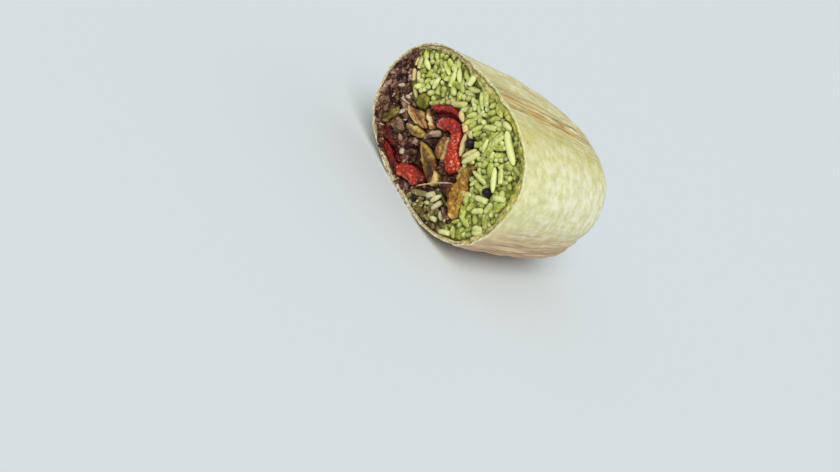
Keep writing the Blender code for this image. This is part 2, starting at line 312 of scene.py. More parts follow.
# %% [markdown]
# ## The tortilla
# A wheat tortilla is a soft sheet, pale, with toasted streaks where it touched the pan, and
# it is rolled so that its last edge laps over underneath. Its skin could be one smooth
# surface with a painted pattern, but the real one shows creases that catch the light, so the
# skin is a fine grid whose points are pushed in and out: low lumps from the filling, long
# creases on the right flank, and the folded tucks at the closed end.

# %% The skin's relief
SKIN_COLUMNS = 480
SKIN_ROWS = 124
LAP_EDGE = -62.0          # degrees round the cut: where the last edge of the wrap lies
LAP_THICKNESS = 1.0

# Long creases: angle at the cut, angle at the far end, depths of start and end, width, height
CREASES = [
    (-6, -2, 14, 72, 1.5, -0.28), (-11, -6, -5, 80, 1.1, 0.34), (-15, -10, -5, 78, 1.0, -0.40),
    (-19, -14, -5, 82, 1.1, 0.44), (-23, -18, -5, 80, 1.0, -0.46), (-27, -22, -5, 80, 1.1, 0.46),
    (-32, -26, -5, 82, 1.2, -0.44), (-38, -32, 5, 80, 1.5, 0.40), (3, 2, 30, 78, 1.4, 0.20),
    (8, 5, 22, 74, 2.2, 0.20), (15, 12, 34, 76, 1.6, -0.20), (24, 20, 14, 52, 2.4, -0.18),
    (34, 30, 40, 80, 2.0, 0.18), (61, 57, 2, 66, 1.1, -0.20), (66, 62, 4, 70, 1.0, 0.26),
    (70, 66, -5, 62, 1.0, -0.28), (75, 72, 8, 74, 1.0, 0.28), (80, 78, 0, 70, 1.1, -0.28),
    (86, 84, 0, 70, 1.2, 0.26), (95, 93, 10, 66, 1.6, -0.24), (106, 102, 10, 66, 2.0, 0.26),
    (124, 118, 0, 72, 2.4, -0.28), (137, 131, 20, 78, 1.6, 0.26), (150, 144, 8, 74, 2.0, 0.30),
    (171, 164, -5, 70, 1.8, -0.34), (186, 180, 0, 76, 2.0, 0.32), (203, 196, 12, 70, 2.2, -0.3),
]


# Fine folds: many short narrow ones along the toasted top and on the lower flank
fold_chance = np.random.default_rng(77)
FINE_FOLDS = []
for low, high, amount, tall in ((54, 92, 34, 0.20), (-40, -4, 26, 0.22), (-2, 40, 12, 0.12)):
    for _ in range(amount):
        start, near = fold_chance.uniform(low, high), fold_chance.uniform(-8, 50)
        FINE_FOLDS.append((start, start + fold_chance.uniform(-6, 1), near,
                           near + fold_chance.uniform(16, 40), fold_chance.uniform(0.55, 0.8),
                           tall * fold_chance.choice([-1, 1]) * fold_chance.uniform(0.6, 1.3)))


def skin_grid(angles, depth, closing, inset=0.0):
    """Points of the skin, or of a layer inside it, before any relief."""
    radius = section_radius(angles) - inset
    place = along_roll(np.cos(angles) * radius, np.sin(angles) * radius, depth, closing)
    swell = np.array([noise.noise(Vector(point) / LUMP_SIZE) for point in
                      place.reshape(-1, 3)]).reshape(depth.shape)
    swell = swell * LUMP * np.clip(depth / LUMP_START, 0, 1) * closing
    place[..., 0] += np.cos(angles) * swell
    place[..., 2] += np.sin(angles) * swell
    return place


def crease_height(angles, depth, closing, place):
    """How far the creases push the skin out, in millimetres."""
    degrees = np.degrees(angles)
    height = np.zeros(depth.shape)
    for number, (start, end, near, far, width, tall) in enumerate(CREASES + FINE_FOLDS):
        wander = 1.6 * np.sin(depth / (9 + number % 5) + number * 2.1)
        middle = start + (end - start) * depth / LENGTH + wander * 0.6
        off = (degrees - middle + 180) % 360 - 180
        arc = np.radians(off) * section_radius(angles) * np.maximum(closing, 0.15)
        fade = ease(depth, near - 6, near + 10) * (1 - ease(depth, far - 14, far + 4))
        height += tall * bell(arc, width) * fade
    return height


def end_folds(place, depth):
    """The tucked end: a flap folded down over two side tucks, with short gathers."""
    x = place[..., 0] - SIDE_DRIFT
    z = place[..., 2] - DROP
    on_end = ease(depth, LENGTH - 24, LENGTH - 9)
    flap = ease(z - (2.5 + 0.10 * x + 1.3 * np.sin(x / 7.0)), -0.8, 0.5)
    left = ease((-x - 9) - 0.75 * abs(z - 1), -0.9, 0.6)
    right = ease((x - 8) - 0.70 * abs(z + 1), -0.9, 0.6)
    height = -0.9 + 0.8 * flap + 0.45 * (1 - flap) * np.maximum(left, right)
    turn_round = np.arctan2(z, x)
    gathers = 0.30 * np.sin(turn_round * 11 + 1.3 * np.sin(turn_round * 3)) * (1 - 0.5 * flap)
    spread = np.hypot(x / 30, z / 24)
    return (height + gathers * ease(spread, 0.12, 0.7)) * on_end


share = np.linspace(0, 1, SKIN_ROWS)
straight = share < 0.62
end_turn = np.clip((share - 0.62) / 0.38, 0, 1) * math.pi / 2
row_depth = np.where(straight, (LENGTH - END_DEPTH) * share / 0.62,
                     LENGTH - END_DEPTH + END_DEPTH * np.sin(end_turn) ** (2 / END_POWER))
row_closing = np.where(straight, 1.0, np.maximum(np.cos(end_turn), 0) ** (2 / END_POWER))
row_depth, row_closing = row_depth[:-1], row_closing[:-1]
skin_angles = np.radians(np.linspace(-180, 180, SKIN_COLUMNS, endpoint=False))
angle_grid, depth_grid = np.meshgrid(skin_angles, row_depth)
closing_grid = np.repeat(row_closing[:, None], SKIN_COLUMNS, 1)
skin = skin_grid(angle_grid, depth_grid, closing_grid)

step_round = np.roll(skin, -1, 1) - np.roll(skin, 1, 1)
step_back = np.gradient(skin, axis=0)
outward = np.cross(step_back, step_round)
outward /= np.linalg.norm(outward, axis=-1, keepdims=True) + 1e-9
outward[-1] = (0, 1, 0)
side = np.sign((outward * (skin - np.array([SIDE_DRIFT / 2, 30, DROP / 2]))).sum(-1))
outward *= side[..., None]

degrees_grid = np.degrees(angle_grid)
lumps = (0.34 * rough(skin[..., 0], skin[..., 2], 11, 2, skin[..., 1])
         + 0.30 * rough(skin[..., 0], skin[..., 2], 4.2, 5, skin[..., 1] * 0.6)
         + 0.14 * rough(skin[..., 0], skin[..., 2], 2.0, 6, skin[..., 1] * 0.6))
push = lumps * (0.35 + 0.65 * ease(depth_grid, 0, 10))
push += crease_height(angle_grid, depth_grid, closing_grid, skin)
push += end_folds(skin, depth_grid)
under_lap = (ease(degrees_grid, -140, -118)
             * (1 - ease(degrees_grid, LAP_EDGE + 4, LAP_EDGE + 46))
             * (1 - ease(depth_grid, LENGTH - 16, LENGTH - 4)))
push -= (LAP_THICKNESS + 0.15) * under_lap
skin = skin + outward * push[..., None]
RIM_WAVE = 0.35
skin[0, :, 1] += RIM_WAVE * (np.sin(3 * skin_angles + 1) + 0.5 * np.sin(8 * skin_angles))
skin[1, :, 1] += 0.5 * RIM_WAVE * (np.sin(3 * skin_angles + 1) + 0.5 * np.sin(8 * skin_angles))
floor_level = -REST_HEIGHT + LAP_THICKNESS * under_lap
skin[..., 2] = np.maximum(skin[..., 2], floor_level)
print("skin grid:", skin.shape)

# %% [markdown]
# The wall of the wrap shows at the cut as a thin pale edge. It is two turns of the sheet
# pressed together, so the edge gets a shallow groove between the turns and a slightly torn
# front. The wall is thicker at the top and right, where it took up sauce.


# %% The cut edge and the wall
def by_angle(table):
    """Reads values given at angles in degrees, round the whole cut."""
    keys = sorted(table)
    spots = [keys[-1] - 360] + keys + [keys[0] + 360]
    heights = [table[keys[-1]]] + [table[key] for key in keys] + [table[keys[0]]]
    return lambda angles: np.interp((np.degrees(angles) + 180) % 360 - 180, spots, heights)


thin_wall = by_angle({-170: 0.8, -120: 0.8, -80: 0.8, -50: 0.9, -20: 1.2, 20: 1.4, 60: 1.4,
                      110: 1.2, 150: 0.9})


def wall_at(angles):
    """Thickness of the wall, which the knife left a little uneven."""
    return thin_wall(angles) * (1 + 0.16 * np.sin(7 * angles + 1) + 0.10 * np.sin(17 * angles)
                                + 0.08 * np.sin(31 * angles + 2))



RIM_STEPS = [(0.05, -0.30), (0.18, -0.50), (0.36, -0.48), (0.50, -0.22), (0.60, -0.36),
             (0.80, -0.26), (0.94, 0.1), (1.0, 0.6)]   # share of the wall, depth in mm
INNER_DEPTHS = [3, 8, 16, 28, 42, 56, 66, 74, 80, 83]

rim_rows = []
rim_middle = np.array([0.0, 0.0])
for share_in, set_back in RIM_STEPS:
    row = skin[0].copy()
    inward = -np.stack([np.cos(skin_angles), np.sin(skin_angles)], -1)
    inset = share_in * wall_at(skin_angles)
    row[:, 0] += inward[:, 0] * inset
    row[:, 2] += inward[:, 1] * inset
    torn = (0.42 * rough(row[:, 0], row[:, 2], 1.5, 21 + share_in * 0.3)
            + 0.45 * rough(row[:, 0], row[:, 2], 6, 22))
    row[:, 1] += set_back + torn
    rim_rows.append(row)
inner_rows = []
for depth in INNER_DEPTHS:
    level = np.full(skin_angles.shape, float(depth))
    shrunk = closing_at(np.minimum(level * LENGTH / (LENGTH - 2), LENGTH - 0.3))
    inner_rows.append(skin_grid(skin_angles, level, shrunk, 1.15 + wall_at(skin_angles) * 0.6))
rows = [row for row in skin[::-1]] + rim_rows + inner_rows
places = np.concatenate(rows)
wrap_faces = band_faces(len(rows), SKIN_COLUMNS)
tips = np.array([skin[-1].mean(0) + (0, 0.2, 0), inner_rows[-1].mean(0)])
first_tip = len(places)
places = np.concatenate([places, tips])
last_row = (len(rows) - 1) * SKIN_COLUMNS
wrap_faces += [(first_tip, (i + 1) % SKIN_COLUMNS, i) for i in range(SKIN_COLUMNS)]
wrap_faces += [(first_tip + 1, last_row + i, last_row + (i + 1) % SKIN_COLUMNS)
               for i in range(SKIN_COLUMNS)]
skin_count = skin.shape[0] * SKIN_COLUMNS
cut_share = np.zeros(len(places))
for number, (share_in, _) in enumerate(RIM_STEPS):
    first = skin_count + number * SKIN_COLUMNS
    cut_share[first:first + SKIN_COLUMNS] = 0.35 + 0.65 * share_in
cut_share[skin_count + len(RIM_STEPS) * SKIN_COLUMNS:first_tip] = 1.0
cut_share[-1] = 1.0
around = np.arctan2(places[:, 2], places[:, 0])
print("wrap:", len(places), "points")

# %% [markdown]
# The last edge of the sheet laps over the turn below it, under the roll. It is a shell of its
# own, thin on its left, with a free wavy edge on its right.

# %% The lap
LAP_ROWS, LAP_COLUMNS = 70, 60
lap_depth = np.linspace(0, LENGTH - 9, LAP_ROWS)
lap_share = np.linspace(0, 1, LAP_COLUMNS)
lap_grid, lap_depths = np.meshgrid(lap_share, lap_depth)
lap_end = LAP_EDGE + 2.2 * np.sin(lap_depths / 10.5 + 0.6) + 1.1 * np.sin(lap_depths / 4.1)
lap_angles = np.radians(-139 + (lap_end + 139) * lap_grid)
thin = np.minimum(ease(lap_grid, 0, 0.28), 1 - 0.75 * ease(lap_grid, 0.965, 1.0))
lap_layers = []
for inset in (0.0, 1.0):
    layer = skin_grid(lap_angles, lap_depths, closing_at(lap_depths),
                      0.02 + inset * LAP_THICKNESS * thin + (1 - thin) * 0.35)
    layer[..., 1] += 0.30 * rough(layer[..., 0], layer[..., 2], 3.2, 31) * bell(lap_depths, 3)
    layer[..., 2] = np.maximum(layer[..., 2], -REST_HEIGHT + inset * LAP_THICKNESS * thin)
    lap_layers.append(layer)
lap_places = np.concatenate([layer.reshape(-1, 3) for layer in lap_layers])
lap_first = len(places)
size = LAP_ROWS * LAP_COLUMNS
lap_faces = band_faces(LAP_ROWS, LAP_COLUMNS, closed=False)
lap_faces += [tuple(size + i for i in face[::-1]) for face in lap_faces]
border = ([i for i in range(LAP_COLUMNS)]
          + [row * LAP_COLUMNS + LAP_COLUMNS - 1 for row in range(1, LAP_ROWS)]
          + [(LAP_ROWS - 1) * LAP_COLUMNS + i for i in range(LAP_COLUMNS - 2, -1, -1)]
          + [row * LAP_COLUMNS for row in range(LAP_ROWS - 2, 0, -1)])
lap_faces += [(border[i], border[(i + 1) % len(border)],
               size + border[(i + 1) % len(border)], size + border[i])
              for i in range(len(border))]
wrap_faces += [tuple(lap_first + i for i in face) for face in lap_faces]
places = np.concatenate([places, lap_places])
lap_cut = np.clip(np.tile((bell(lap_depths, 0.6) * 0.6).ravel(), 2), 0, 1)
cut_share = np.concatenate([cut_share, lap_cut])
around = np.arctan2(places[:, 2], places[:, 0])
print("lap:", len(lap_places), "points")

# %% [markdown]
# The colour of the sheet is cream with a green tinge, finely mottled, whiter where flour stays,
# and gold-brown in long streaks along the top. On the right flank the whiter patches are partly
# a painted highlight, and the pinkish tan low on the flank is partly toasting and partly painted
# reflection and shade from below. Along the folds a thin pale line is a painted highlight, and
# the dark brown line in the fold is partly toasting and partly painted crease shade. Where each
# tone lies is a rule on the angle and the depth, stored at the points. The fine pattern itself
# is noise, drawn out along the roll, and needs coordinates that run round and along the skin,
# which are stored as well.

# %% Where the skin is toasted, floured or soaked, and where light and shade are painted
TOAST_ZONES = [  # angle, depth, half sizes in degrees and mm, strength
    (70, 22, 8, 13, 1.0), (71, 44, 9, 12, 1.0), (76, 8, 8, 10, 0.8), (80, 60, 8, 9, 0.7),
    (62, 36, 6, 16, 0.55), (88, 30, 7, 20, 0.75), (97, 20, 6, 12, 0.6), (42, 4, 3.5, 4, 0.8),
    (82, 16, 5, 16, 0.7), (66, 30, 4, 20, 0.7), (-20, 24, 4, 12, 0.4),
    (-70, 40, 16, 30, 0.75), (-105, 40, 16, 30, 0.6), (122, 40, 12, 20, 0.85),
    (144, 18, 8, 12, 0.6), (168, 50, 9, 14, 0.8), (-165, 26, 8, 14, 0.6), (-140, 58, 9, 12, 0.7),
    (110, 62, 8, 10, 0.6),
]
turned = np.degrees(around)
behind = places[:, 1]
toast = np.zeros(len(places))
for angle, depth, wide, long, strength in TOAST_ZONES:
    off = (turned - angle + 180) % 360 - 180
    toast = np.maximum(toast, strength * np.exp(-(off / wide) ** 2 - ((behind - depth) / long) ** 2))
# pinkish tan low on the flank and the end: partly toasting, partly painted reflection and shade from below
tan_and_reflection = 1.0 * ease(-turned, -8, 20) * (1 - ease(-turned, 120, 170)) * (1 - 0.4 * ease(behind, 54, 80))
# where the fold lines lie: each gets a painted highlight and a dark line of painted crease shade and toasting
lines = (bell((turned - 75) / 19, 1) * (1 - ease(behind, 62, 78))
         + 0.8 * bell((turned + 23) / 17, 1) * ease(behind, 2, 18)
         + 0.35 * bell((turned - 125) / 30, 1))
dry = 1 - bell((turned - 50) / 72, 1)
# whiter on the right flank: partly flour, partly painted highlight; the patch about 60 mm back is a painted
# highlight
flour_and_highlight = (bell((turned - 22) / 26, 1) * ease(behind, 2, 30) * 0.8
         + bell((turned - 12) / 16, 1) * bell((behind - 60) / 14, 1) * 0.7)
olive = bell((turned - 50) / 12, 1) * 0.8 + bell((turned - 85) / 30, 1) * 0.35 * bell(behind, 14)
perimeter = np.hypot(places[:, 0], places[:, 2])
# The closed end is a flat fold, so there the tones and the grain follow the folded parts.
at_end = ease(behind, LENGTH - 14, LENGTH - 7)
end_x, end_z = places[:, 0] - SIDE_DRIFT, places[:, 2] - DROP
on_flap = end_z > 2.5 + 0.10 * end_x + 1.3 * np.sin(end_x / 7.0)
on_side = ((-end_x - 9 > 0.75 * abs(end_z - 1)) | (end_x - 8 > 0.70 * abs(end_z + 1))) & ~on_flap
grain_round = np.where(on_flap, 53.4 - end_x, np.where(on_side, end_z, end_x))
grain_along = np.where(on_flap, LENGTH + 19 - end_z,
                       np.where(on_side, LENGTH + 50 - abs(end_x), LENGTH + 50 + end_z))
end_toast = (0.8 * bell(end_x - 7, 7) * bell(end_z - 7, 5)
             + 0.7 * bell(end_x + 13, 6) * bell(end_z - 10, 6)
             + 0.7 * bell(end_x - 2, 10) * bell(end_z + 9, 4))


def with_end(value, end_value):
    return value * (1 - at_end) + end_value * at_end


skin_values = dict(
    toast=with_end(toast, end_toast), tan_and_reflection=with_end(tan_and_reflection, 0.45 * ease(-end_z, 2, 18)),
    flour_and_highlight=with_end(np.clip(flour_and_highlight, 0, 1), 0.35), olive=with_end(np.clip(olive, 0, 1), 0.0),
    lines=with_end(np.clip(lines, 0, 1), 0.06), cut=cut_share, dry=dry,
    skin_round=with_end(around * 34, grain_round) * MM,
    skin_along=with_end(behind, grain_along) * MM)
print("toasted share:", round(float((toast > 0.5).mean()), 2))


# %% Finish of the tortilla
def tortilla_finish():
    material, tree, shader, where = start_finish("tortilla", 0.60, Specular_IOR_Level=0.30)
    skin_where = add(tree, "CombineXYZ", {
        "X": read(tree, "skin_round"), "Y": read(tree, "skin_along"), "Z": 0.0}).outputs[0]
    mottle = speckle(tree, skin_where, 250, 5, 0.66, (1, 0.8, 1))
    cloud = speckle(tree, where, 110, 3, 0.55)
    patch = speckle(tree, where, 270, 3, 0.6)
    streak = speckle(tree, skin_where, 1000, 3, 0.55, (1, 0.035, 1))
    thread = speckle(tree, skin_where, 820, 3, 0.6, (1, 0.016, 1))
    fleck = speckle(tree, where, 850, 2, 0.5)
    base = blend(tree, limits(tree, mottle, 0.34, 0.66), show(206, 203, 142),
                 show(234, 233, 188))
    base = blend(tree, limits(tree, patch, 0.50, 0.64, 0, 0.4), base, show(190, 192, 126))
    base = blend(tree, limits(tree, patch, 0.34, 0.44, 0.5, 0), base, show(242, 240, 206))
    base = blend(tree, times(tree, read(tree, "olive"), limits(tree, cloud, 0.34, 0.62, 0.3, 1)),
                 base, show(198, 192, 102))
    # whiter on the right flank: partly flour, partly painted highlight
    white = times(tree, read(tree, "flour_and_highlight"), limits(tree, patch, 0.36, 0.58, 1, 0.15))
    base = blend(tree, white, base, show(238, 238, 208))
    base = blend(tree, limits(tree, fleck, 0.64, 0.74, 0, 0.22), base, show(176, 168, 96))
    # pinkish tan: partly toasting, partly painted reflection and shade from below
    tan_and_reflection = times(tree, read(tree, "tan_and_reflection"), limits(tree, streak, 0.30, 0.62, 0.55, 1))
    base = blend(tree, tan_and_reflection, base, show(212, 170, 138))
    # painted highlight: a thin pale line on each fold ridge
    fold_highlight = times(tree, read(tree, "lines"), limits(tree, thread, 0.56, 0.64, 0, 0.9))
    base = blend(tree, fold_highlight, base, show(244, 234, 188))
    # dark brown line in each fold: partly toasting, partly painted crease shade
    off_middle = times(tree, times(tree, thread, 0.50, "SUBTRACT"), 0.0, "ABSOLUTE")
    fold_shade_and_toast = times(tree, read(tree, "lines"), limits(tree, off_middle, 0.018, 0.050, 1, 0))
    base = blend(tree, fold_shade_and_toast, base, show(136, 102, 50))
    spotty = blend(tree, limits(tree, read(tree, "lines"), 0.2, 0.6), patch, streak)
    reached = times(tree, times(tree, read(tree, "toast"), 0.44), limits(
        tree, spotty, 0.25, 0.75, 0, 0.62), "ADD")
    reached = times(tree, reached, limits(tree, cloud, 0.35, 0.65, -0.08, 0.08), "ADD")
    touched = limits(tree, read(tree, "toast"), 0.08, 0.35)
    gold = times(tree, limits(tree, reached, 0.50, 0.64), touched)
    burnt = times(tree, limits(tree, reached, 0.68, 0.80), touched)
    base = blend(tree, times(tree, gold, 0.7), base, show(212, 176, 96))
    base = blend(tree, times(tree, burnt, 0.8), base, show(150, 112, 52))
    edge = read(tree, "cut")
    crumbly = limits(tree, fleck, 0.35, 0.65)
    dry = read(tree, "dry")
    outer_edge = blend(tree, dry, blend(tree, crumbly, show(206, 204, 130), show(234, 234, 178)),
                       blend(tree, crumbly, show(190, 172, 132), show(240, 230, 202)))
    inner_edge_tone = blend(tree, dry,
                            blend(tree, crumbly, show(176, 174, 78), show(222, 220, 128)),
                            blend(tree, crumbly, show(150, 124, 84), show(214, 198, 160)))
    base = blend(tree, limits(tree, edge, 0.1, 0.4), base, outer_edge)
    base = blend(tree, limits(tree, edge, 0.7, 1.0), base, inner_edge_tone)
    colour_from(tree, shader, base)
    height = times(tree, times(tree, mottle, 0.7), times(tree, streak, 0.35), "ADD")
    height = times(tree, height, times(tree, times(tree, thread, read(tree, "lines")), 1.2),
                   "ADD")
    height = times(tree, height, times(tree, patch, 0.8), "ADD")
    relief(tree, shader, height, 0.42, 0.8)
    return material


wrap_finish = tortilla_finish()
tortilla = make_piece("tortilla_wrap", places, wrap_faces, wrap_finish, skin_values)
stand_for(tortilla, "tortilla", "tortilla")

# %% [markdown]
# ## The soaked layer
# Between the wrap and the rice lies the inner turn of the sheet, soft and olive-green with
# sauce. It is thick at the top and on the right and nearly gone elsewhere. It is a tube of its
# own, with an uneven front and a stretch that runs back along the roll.

# %% The soaked layer
soaked_at = by_angle({-170: 0.15, -120: 0.15, -70: 0.3, -48: 0.7, -30: 1.6, -8: 2.6, 15: 2.9,
                      40: 2.8, 62: 3.2, 85: 3.6, 110: 3.2, 132: 2.2, 150: 1.2, 168: 0.15})
SOAK_COLUMNS = 420
soak_angles = np.radians(np.linspace(-180, 180, SOAK_COLUMNS, endpoint=False))
soak_thick = soaked_at(soak_angles) * (1 + 0.25 * np.sin(soak_angles * 9) * np.sin(soak_angles * 4 + 1))
SOAK_STEPS = [(0.0, 1.6), (0.08, 0.9), (0.25, 0.75), (0.45, 0.9), (0.62, 1.1), (0.8, 1.2),
              (0.93, 1.5), (1.0, 2.4)]
soak_rows = []
for share_in, depth in SOAK_STEPS + [(1.0, 8), (1.0, 30), (1.0, 56)]:
    inset = wall_at(soak_angles) + 0.05 + share_in * soak_thick
    level = np.full(soak_angles.shape, float(depth))
    row = skin_grid(soak_angles, level, closing_at(level), inset)
    if depth < 2.5:
        row[:, 1] += (1.5 * rough(row[:, 0], row[:, 2], 2.4, 41)
                      + 0.9 * rough(row[:, 0], row[:, 2], 1.1, 43)) * ease(share_in, 0, 0.25)
        row[:, 1] -= 0.55 * (1 - share_in)
    row[:, 2] = np.maximum(row[:, 2], 0.35 - REST_HEIGHT)
    soak_rows.append(row)
for depth in (56.2, 30, 8):
    level = np.full(soak_angles.shape, float(depth))
    row = skin_grid(soak_angles, level, closing_at(level), wall_at(soak_angles) + 0.05)
    row[:, 2] = np.maximum(row[:, 2], 0.3 - REST_HEIGHT)
    soak_rows.append(row)
soak_places = np.concatenate(soak_rows)
soak_faces = band_faces(len(soak_rows), SOAK_COLUMNS)
wrap_back = (len(soak_rows) - 1) * SOAK_COLUMNS
soak_faces += [(wrap_back + i, wrap_back + (i + 1) % SOAK_COLUMNS, (i + 1) % SOAK_COLUMNS, i)
               for i in range(SOAK_COLUMNS)]


def soaked_finish():
    material, tree, shader, where = start_finish("soaked_layer", 0.42,
                                                 Specular_IOR_Level=0.5)
    cloud = speckle(tree, where, 210, 4, 0.6)
    grain = speckle(tree, where, 700, 3, 0.6)
    base = blend(tree, limits(tree, cloud, 0.38, 0.56), show(142, 136, 16), show(200, 194, 62))
    base = blend(tree, limits(tree, grain, 0.48, 0.62, 0, 0.85), base, show(226, 222, 132))
    base = blend(tree, limits(tree, cloud, 0.30, 0.42, 0.8, 0), base, show(104, 92, 14))
    dry_tone = blend(tree, limits(tree, grain, 0.40, 0.60), show(150, 118, 78),
                     show(222, 206, 168))
    base = blend(tree, read(tree, "dry"), base, dry_tone)
    colour_from(tree, shader, base)
    relief(tree, shader, times(tree, cloud, grain, "ADD"), 0.6, 0.8)
    return material


soak_dry = 1 - bell((np.degrees(np.arctan2(soak_places[:, 2], soak_places[:, 0])) - 50) / 72, 1)
soaked = make_piece("soaked_layer", soak_places, soak_faces, soaked_finish(), {"dry": soak_dry})
stand_for(soaked, "tortilla")

# %% [markdown]
# ## Outlines across the cut
# Everything inside the wrap shows only at the cut, so each filling starts as an outline there.
# A smooth curve through a few named points gives the outline, and the distance to it says
# where a point lies: that rounds the edges of a piece, keeps grains inside their heap, and
# makes the dark crevices round each strip.


# %% Outlines and distances
def smooth_outline(points, step=0.6, closed=True):
    """A curve through the points (Catmull-Rom), at an even spacing in millimetres."""
    points = np.array(points, float)
    count = len(points)
    drawn = []
    for i in range(count if closed else count - 1):
        a, b, c, d = (points[(i + k) % count if closed else min(max(i + k, 0), count - 1)]
                      for k in (-1, 0, 1, 2))
        for t in np.linspace(0, 1, 12, endpoint=False):
            drawn.append(0.5 * (2 * b + (c - a) * t + (2 * a - 5 * b + 4 * c - d) * t ** 2
                                + (3 * b - a - 3 * c + d) * t ** 3))
    drawn.append(drawn[0] if closed else points[-1])
    drawn = np.array(drawn)
    run = np.concatenate([[0], np.cumsum(np.hypot(*np.diff(drawn, axis=0).T))])
    stops = np.linspace(0, run[-1], max(int(run[-1] / step), 8) + 1)
    even = np.stack([np.interp(stops, run, drawn[:, k]) for k in (0, 1)], -1)
    return even[:-1] if closed else even


def path_distance(path, x, z, closed=False):
    """Distance from points to a path, in millimetres."""
    path = np.asarray(path, float)
    ends = np.roll(path, -1, 0) if closed else path[1:]
    starts = path if closed else path[:-1]
    along = ends - starts
    spots = np.stack([np.ravel(x), np.ravel(z)], -1)
    nearest = np.full(len(spots), 1e9)
    for start, step in zip(starts, along):
        off = spots - start
        t = np.clip(off @ step / max(step @ step, 1e-9), 0, 1)
        nearest = np.minimum(nearest, np.hypot(*(off - t[:, None] * step).T))
    return nearest.reshape(np.shape(x))


def inside(outline, x, z):
    """True where a point lies inside the outline."""
    x, z = np.asarray(x, float), np.asarray(z, float)
    odd = np.zeros(x.shape, bool)
    for (x0, z0), (x1, z1) in zip(outline, np.roll(outline, -1, 0)):
        crosses = (z0 > z) != (z1 > z)
        if z1 != z0:
            odd ^= crosses & (x < (x1 - x0) * (z - z0) / (z1 - z0) + x0)
    return odd


def depth_inside(outline, x, z):
    """Distance to the outline: positive inside it and negative outside."""
    away = path_distance(outline, x, z, closed=True)
    return np.where(inside(outline, x, z), away, -away)


# %% [markdown]
# A filling or a strip is a front of small triangles, pushed in and out by its own relief, and
# a side that runs back through the roll and closes behind. The triangles come from a
# constrained Delaunay triangulation, which keeps the outline's edges exactly and fills it
# evenly.


# %% A filled piece that runs back through the roll
BASE_HEIGHT = 2.6         # a filling stays this far above the floor, on the sheet and its lap


def filled(outline, spacing, depth_of, back_depths, seed, tapered=False):
    """Points, faces and front points' count of a closed piece with a shaped front."""
    outline = np.asarray(outline)
    count = len(outline)
    chance = np.random.default_rng(seed)
    low, high = outline.min(0), outline.max(0)
    xs = np.arange(low[0], high[0], spacing)
    zs = np.arange(low[1], high[1], spacing * 0.87)
    x, z = np.meshgrid(xs, zs)
    x[1::2] += spacing / 2
    x, z = x.ravel(), z.ravel()
    x = x + chance.uniform(-0.18, 0.18, x.shape) * spacing
    z = z + chance.uniform(-0.18, 0.18, z.shape) * spacing
    keep = inside(outline, x, z)
    x, z = x[keep], z[keep]
    keep = path_distance(outline, x, z, closed=True) > spacing * 0.55
    flat = [Vector(p) for p in outline] + [Vector(p) for p in zip(x[keep], z[keep])]
    made = geometry.delaunay_2d_cdt(flat, [], [list(range(count))], 1, 1e-6)
    front = np.array([tuple(v) for v in made[0]])
    faces = [tuple(face) for face in made[2]]
    origin = {source: i for i, sources in enumerate(made[3]) for source in sources}
    ring = [origin[i] for i in range(count)]
    edge = path_distance(outline, front[:, 0], front[:, 1], closed=True)
    depth = depth_of(front[:, 0], front[:, 1], edge)
    points = [np.stack([front[:, 0], depth, front[:, 1]], -1)]
    if tapered:
        points[0] = along_roll(front[:, 0], front[:, 1], depth, np.ones(len(depth)))
        points[0][:, 2] = np.maximum(points[0][:, 2], 0.8 - REST_HEIGHT)
    last = ring
    total = len(front)
    for back_depth in back_depths:
        level = np.full(count, float(back_depth))
        level = np.maximum(level, depth[ring] + 0.2)
        spots = outline
        if tapered:
            narrower = closing_at(level) * (1 - 0.08 * ease(level, 10, 70))
            row = along_roll(spots[:, 0], spots[:, 1], level, narrower)
            row[:, 2] = np.maximum(row[:, 2], BASE_HEIGHT - REST_HEIGHT)
            points.append(row)
        else:
            points.append(np.stack([spots[:, 0], level, spots[:, 1]], -1))
        row = list(range(total, total + count))
        faces += [(last[i], last[(i + 1) % count], row[(i + 1) % count], row[i])
                  for i in range(count)]
        last = row
        total += count
    closing = geometry.tessellate_polygon([[Vector((p[0], p[1], 0)) for p in outline]])
    faces += [tuple(last[i] for i in triangle) for triangle in closing]
    return np.concatenate(points), faces, len(front), edge


# %% [markdown]
# ## Where the beans end and the rice begins
# One border runs across the cut, from the left wall over the vegetables to the bottom wall.
# The rice fills the side above and to the right of it, and the beans the other side.

# %% The two sides of the cut
BORDER = [
    (-43.5, 13.2), (-39.6, 11.5), (-38, 8), (-34.8, 2.8), (-31, -0.8), (-27, -2.8), (-21.5, 0),
    (-18, 1.4), (-14.5, 3.4), (-8, 8.3), (-2, 7), (2.4, 4.2), (5.9, -0.1), (10, -3.8),
    (14.2, -4.3), (18.5, -3.4), (22, -8), (26, -13), (28.3, -16.3), (28.4, -19), (25.5, -18.9),
    (22, -16.8), (19, -15.6), (15, -15.3), (11.8, -17.3), (8, -20), (5.5, -23), (4.6, -26),
    (4.4, -29.5),
]


def inner_edge(angles, extra=0.0):
    """The inner side of the wall and its soaked layer at the cut."""
    radius = section_radius(angles) - wall_at(angles) - soaked_at(angles) - extra
    return np.stack([np.cos(angles) * radius, np.sin(angles) * radius], -1)


border_line = smooth_outline(BORDER, 0.8, closed=False)
angle_of = np.arctan2(border_line[:, 1], border_line[:, 0])
reach_of = np.hypot(*border_line.T)
room = np.hypot(*inner_edge(angle_of, 0.3).T)
border_line = border_line[reach_of < room]
left_angle = math.atan2(border_line[0][1], border_line[0][0])
low_angle = math.atan2(border_line[-1][1], border_line[-1][0])
rice_arc = inner_edge(np.linspace(low_angle, left_angle, 200)[1:-1], 0.15)
mash_arc = inner_edge(np.linspace(left_angle, low_angle + 2 * math.pi, 130)[1:-1], 0.15)
rice_outline = np.concatenate([rice_arc, border_line])
mash_outline = np.concatenate([mash_arc, border_line[::-1]])
print("rice and bean outlines:", len(rice_outline), len(mash_outline), "points")

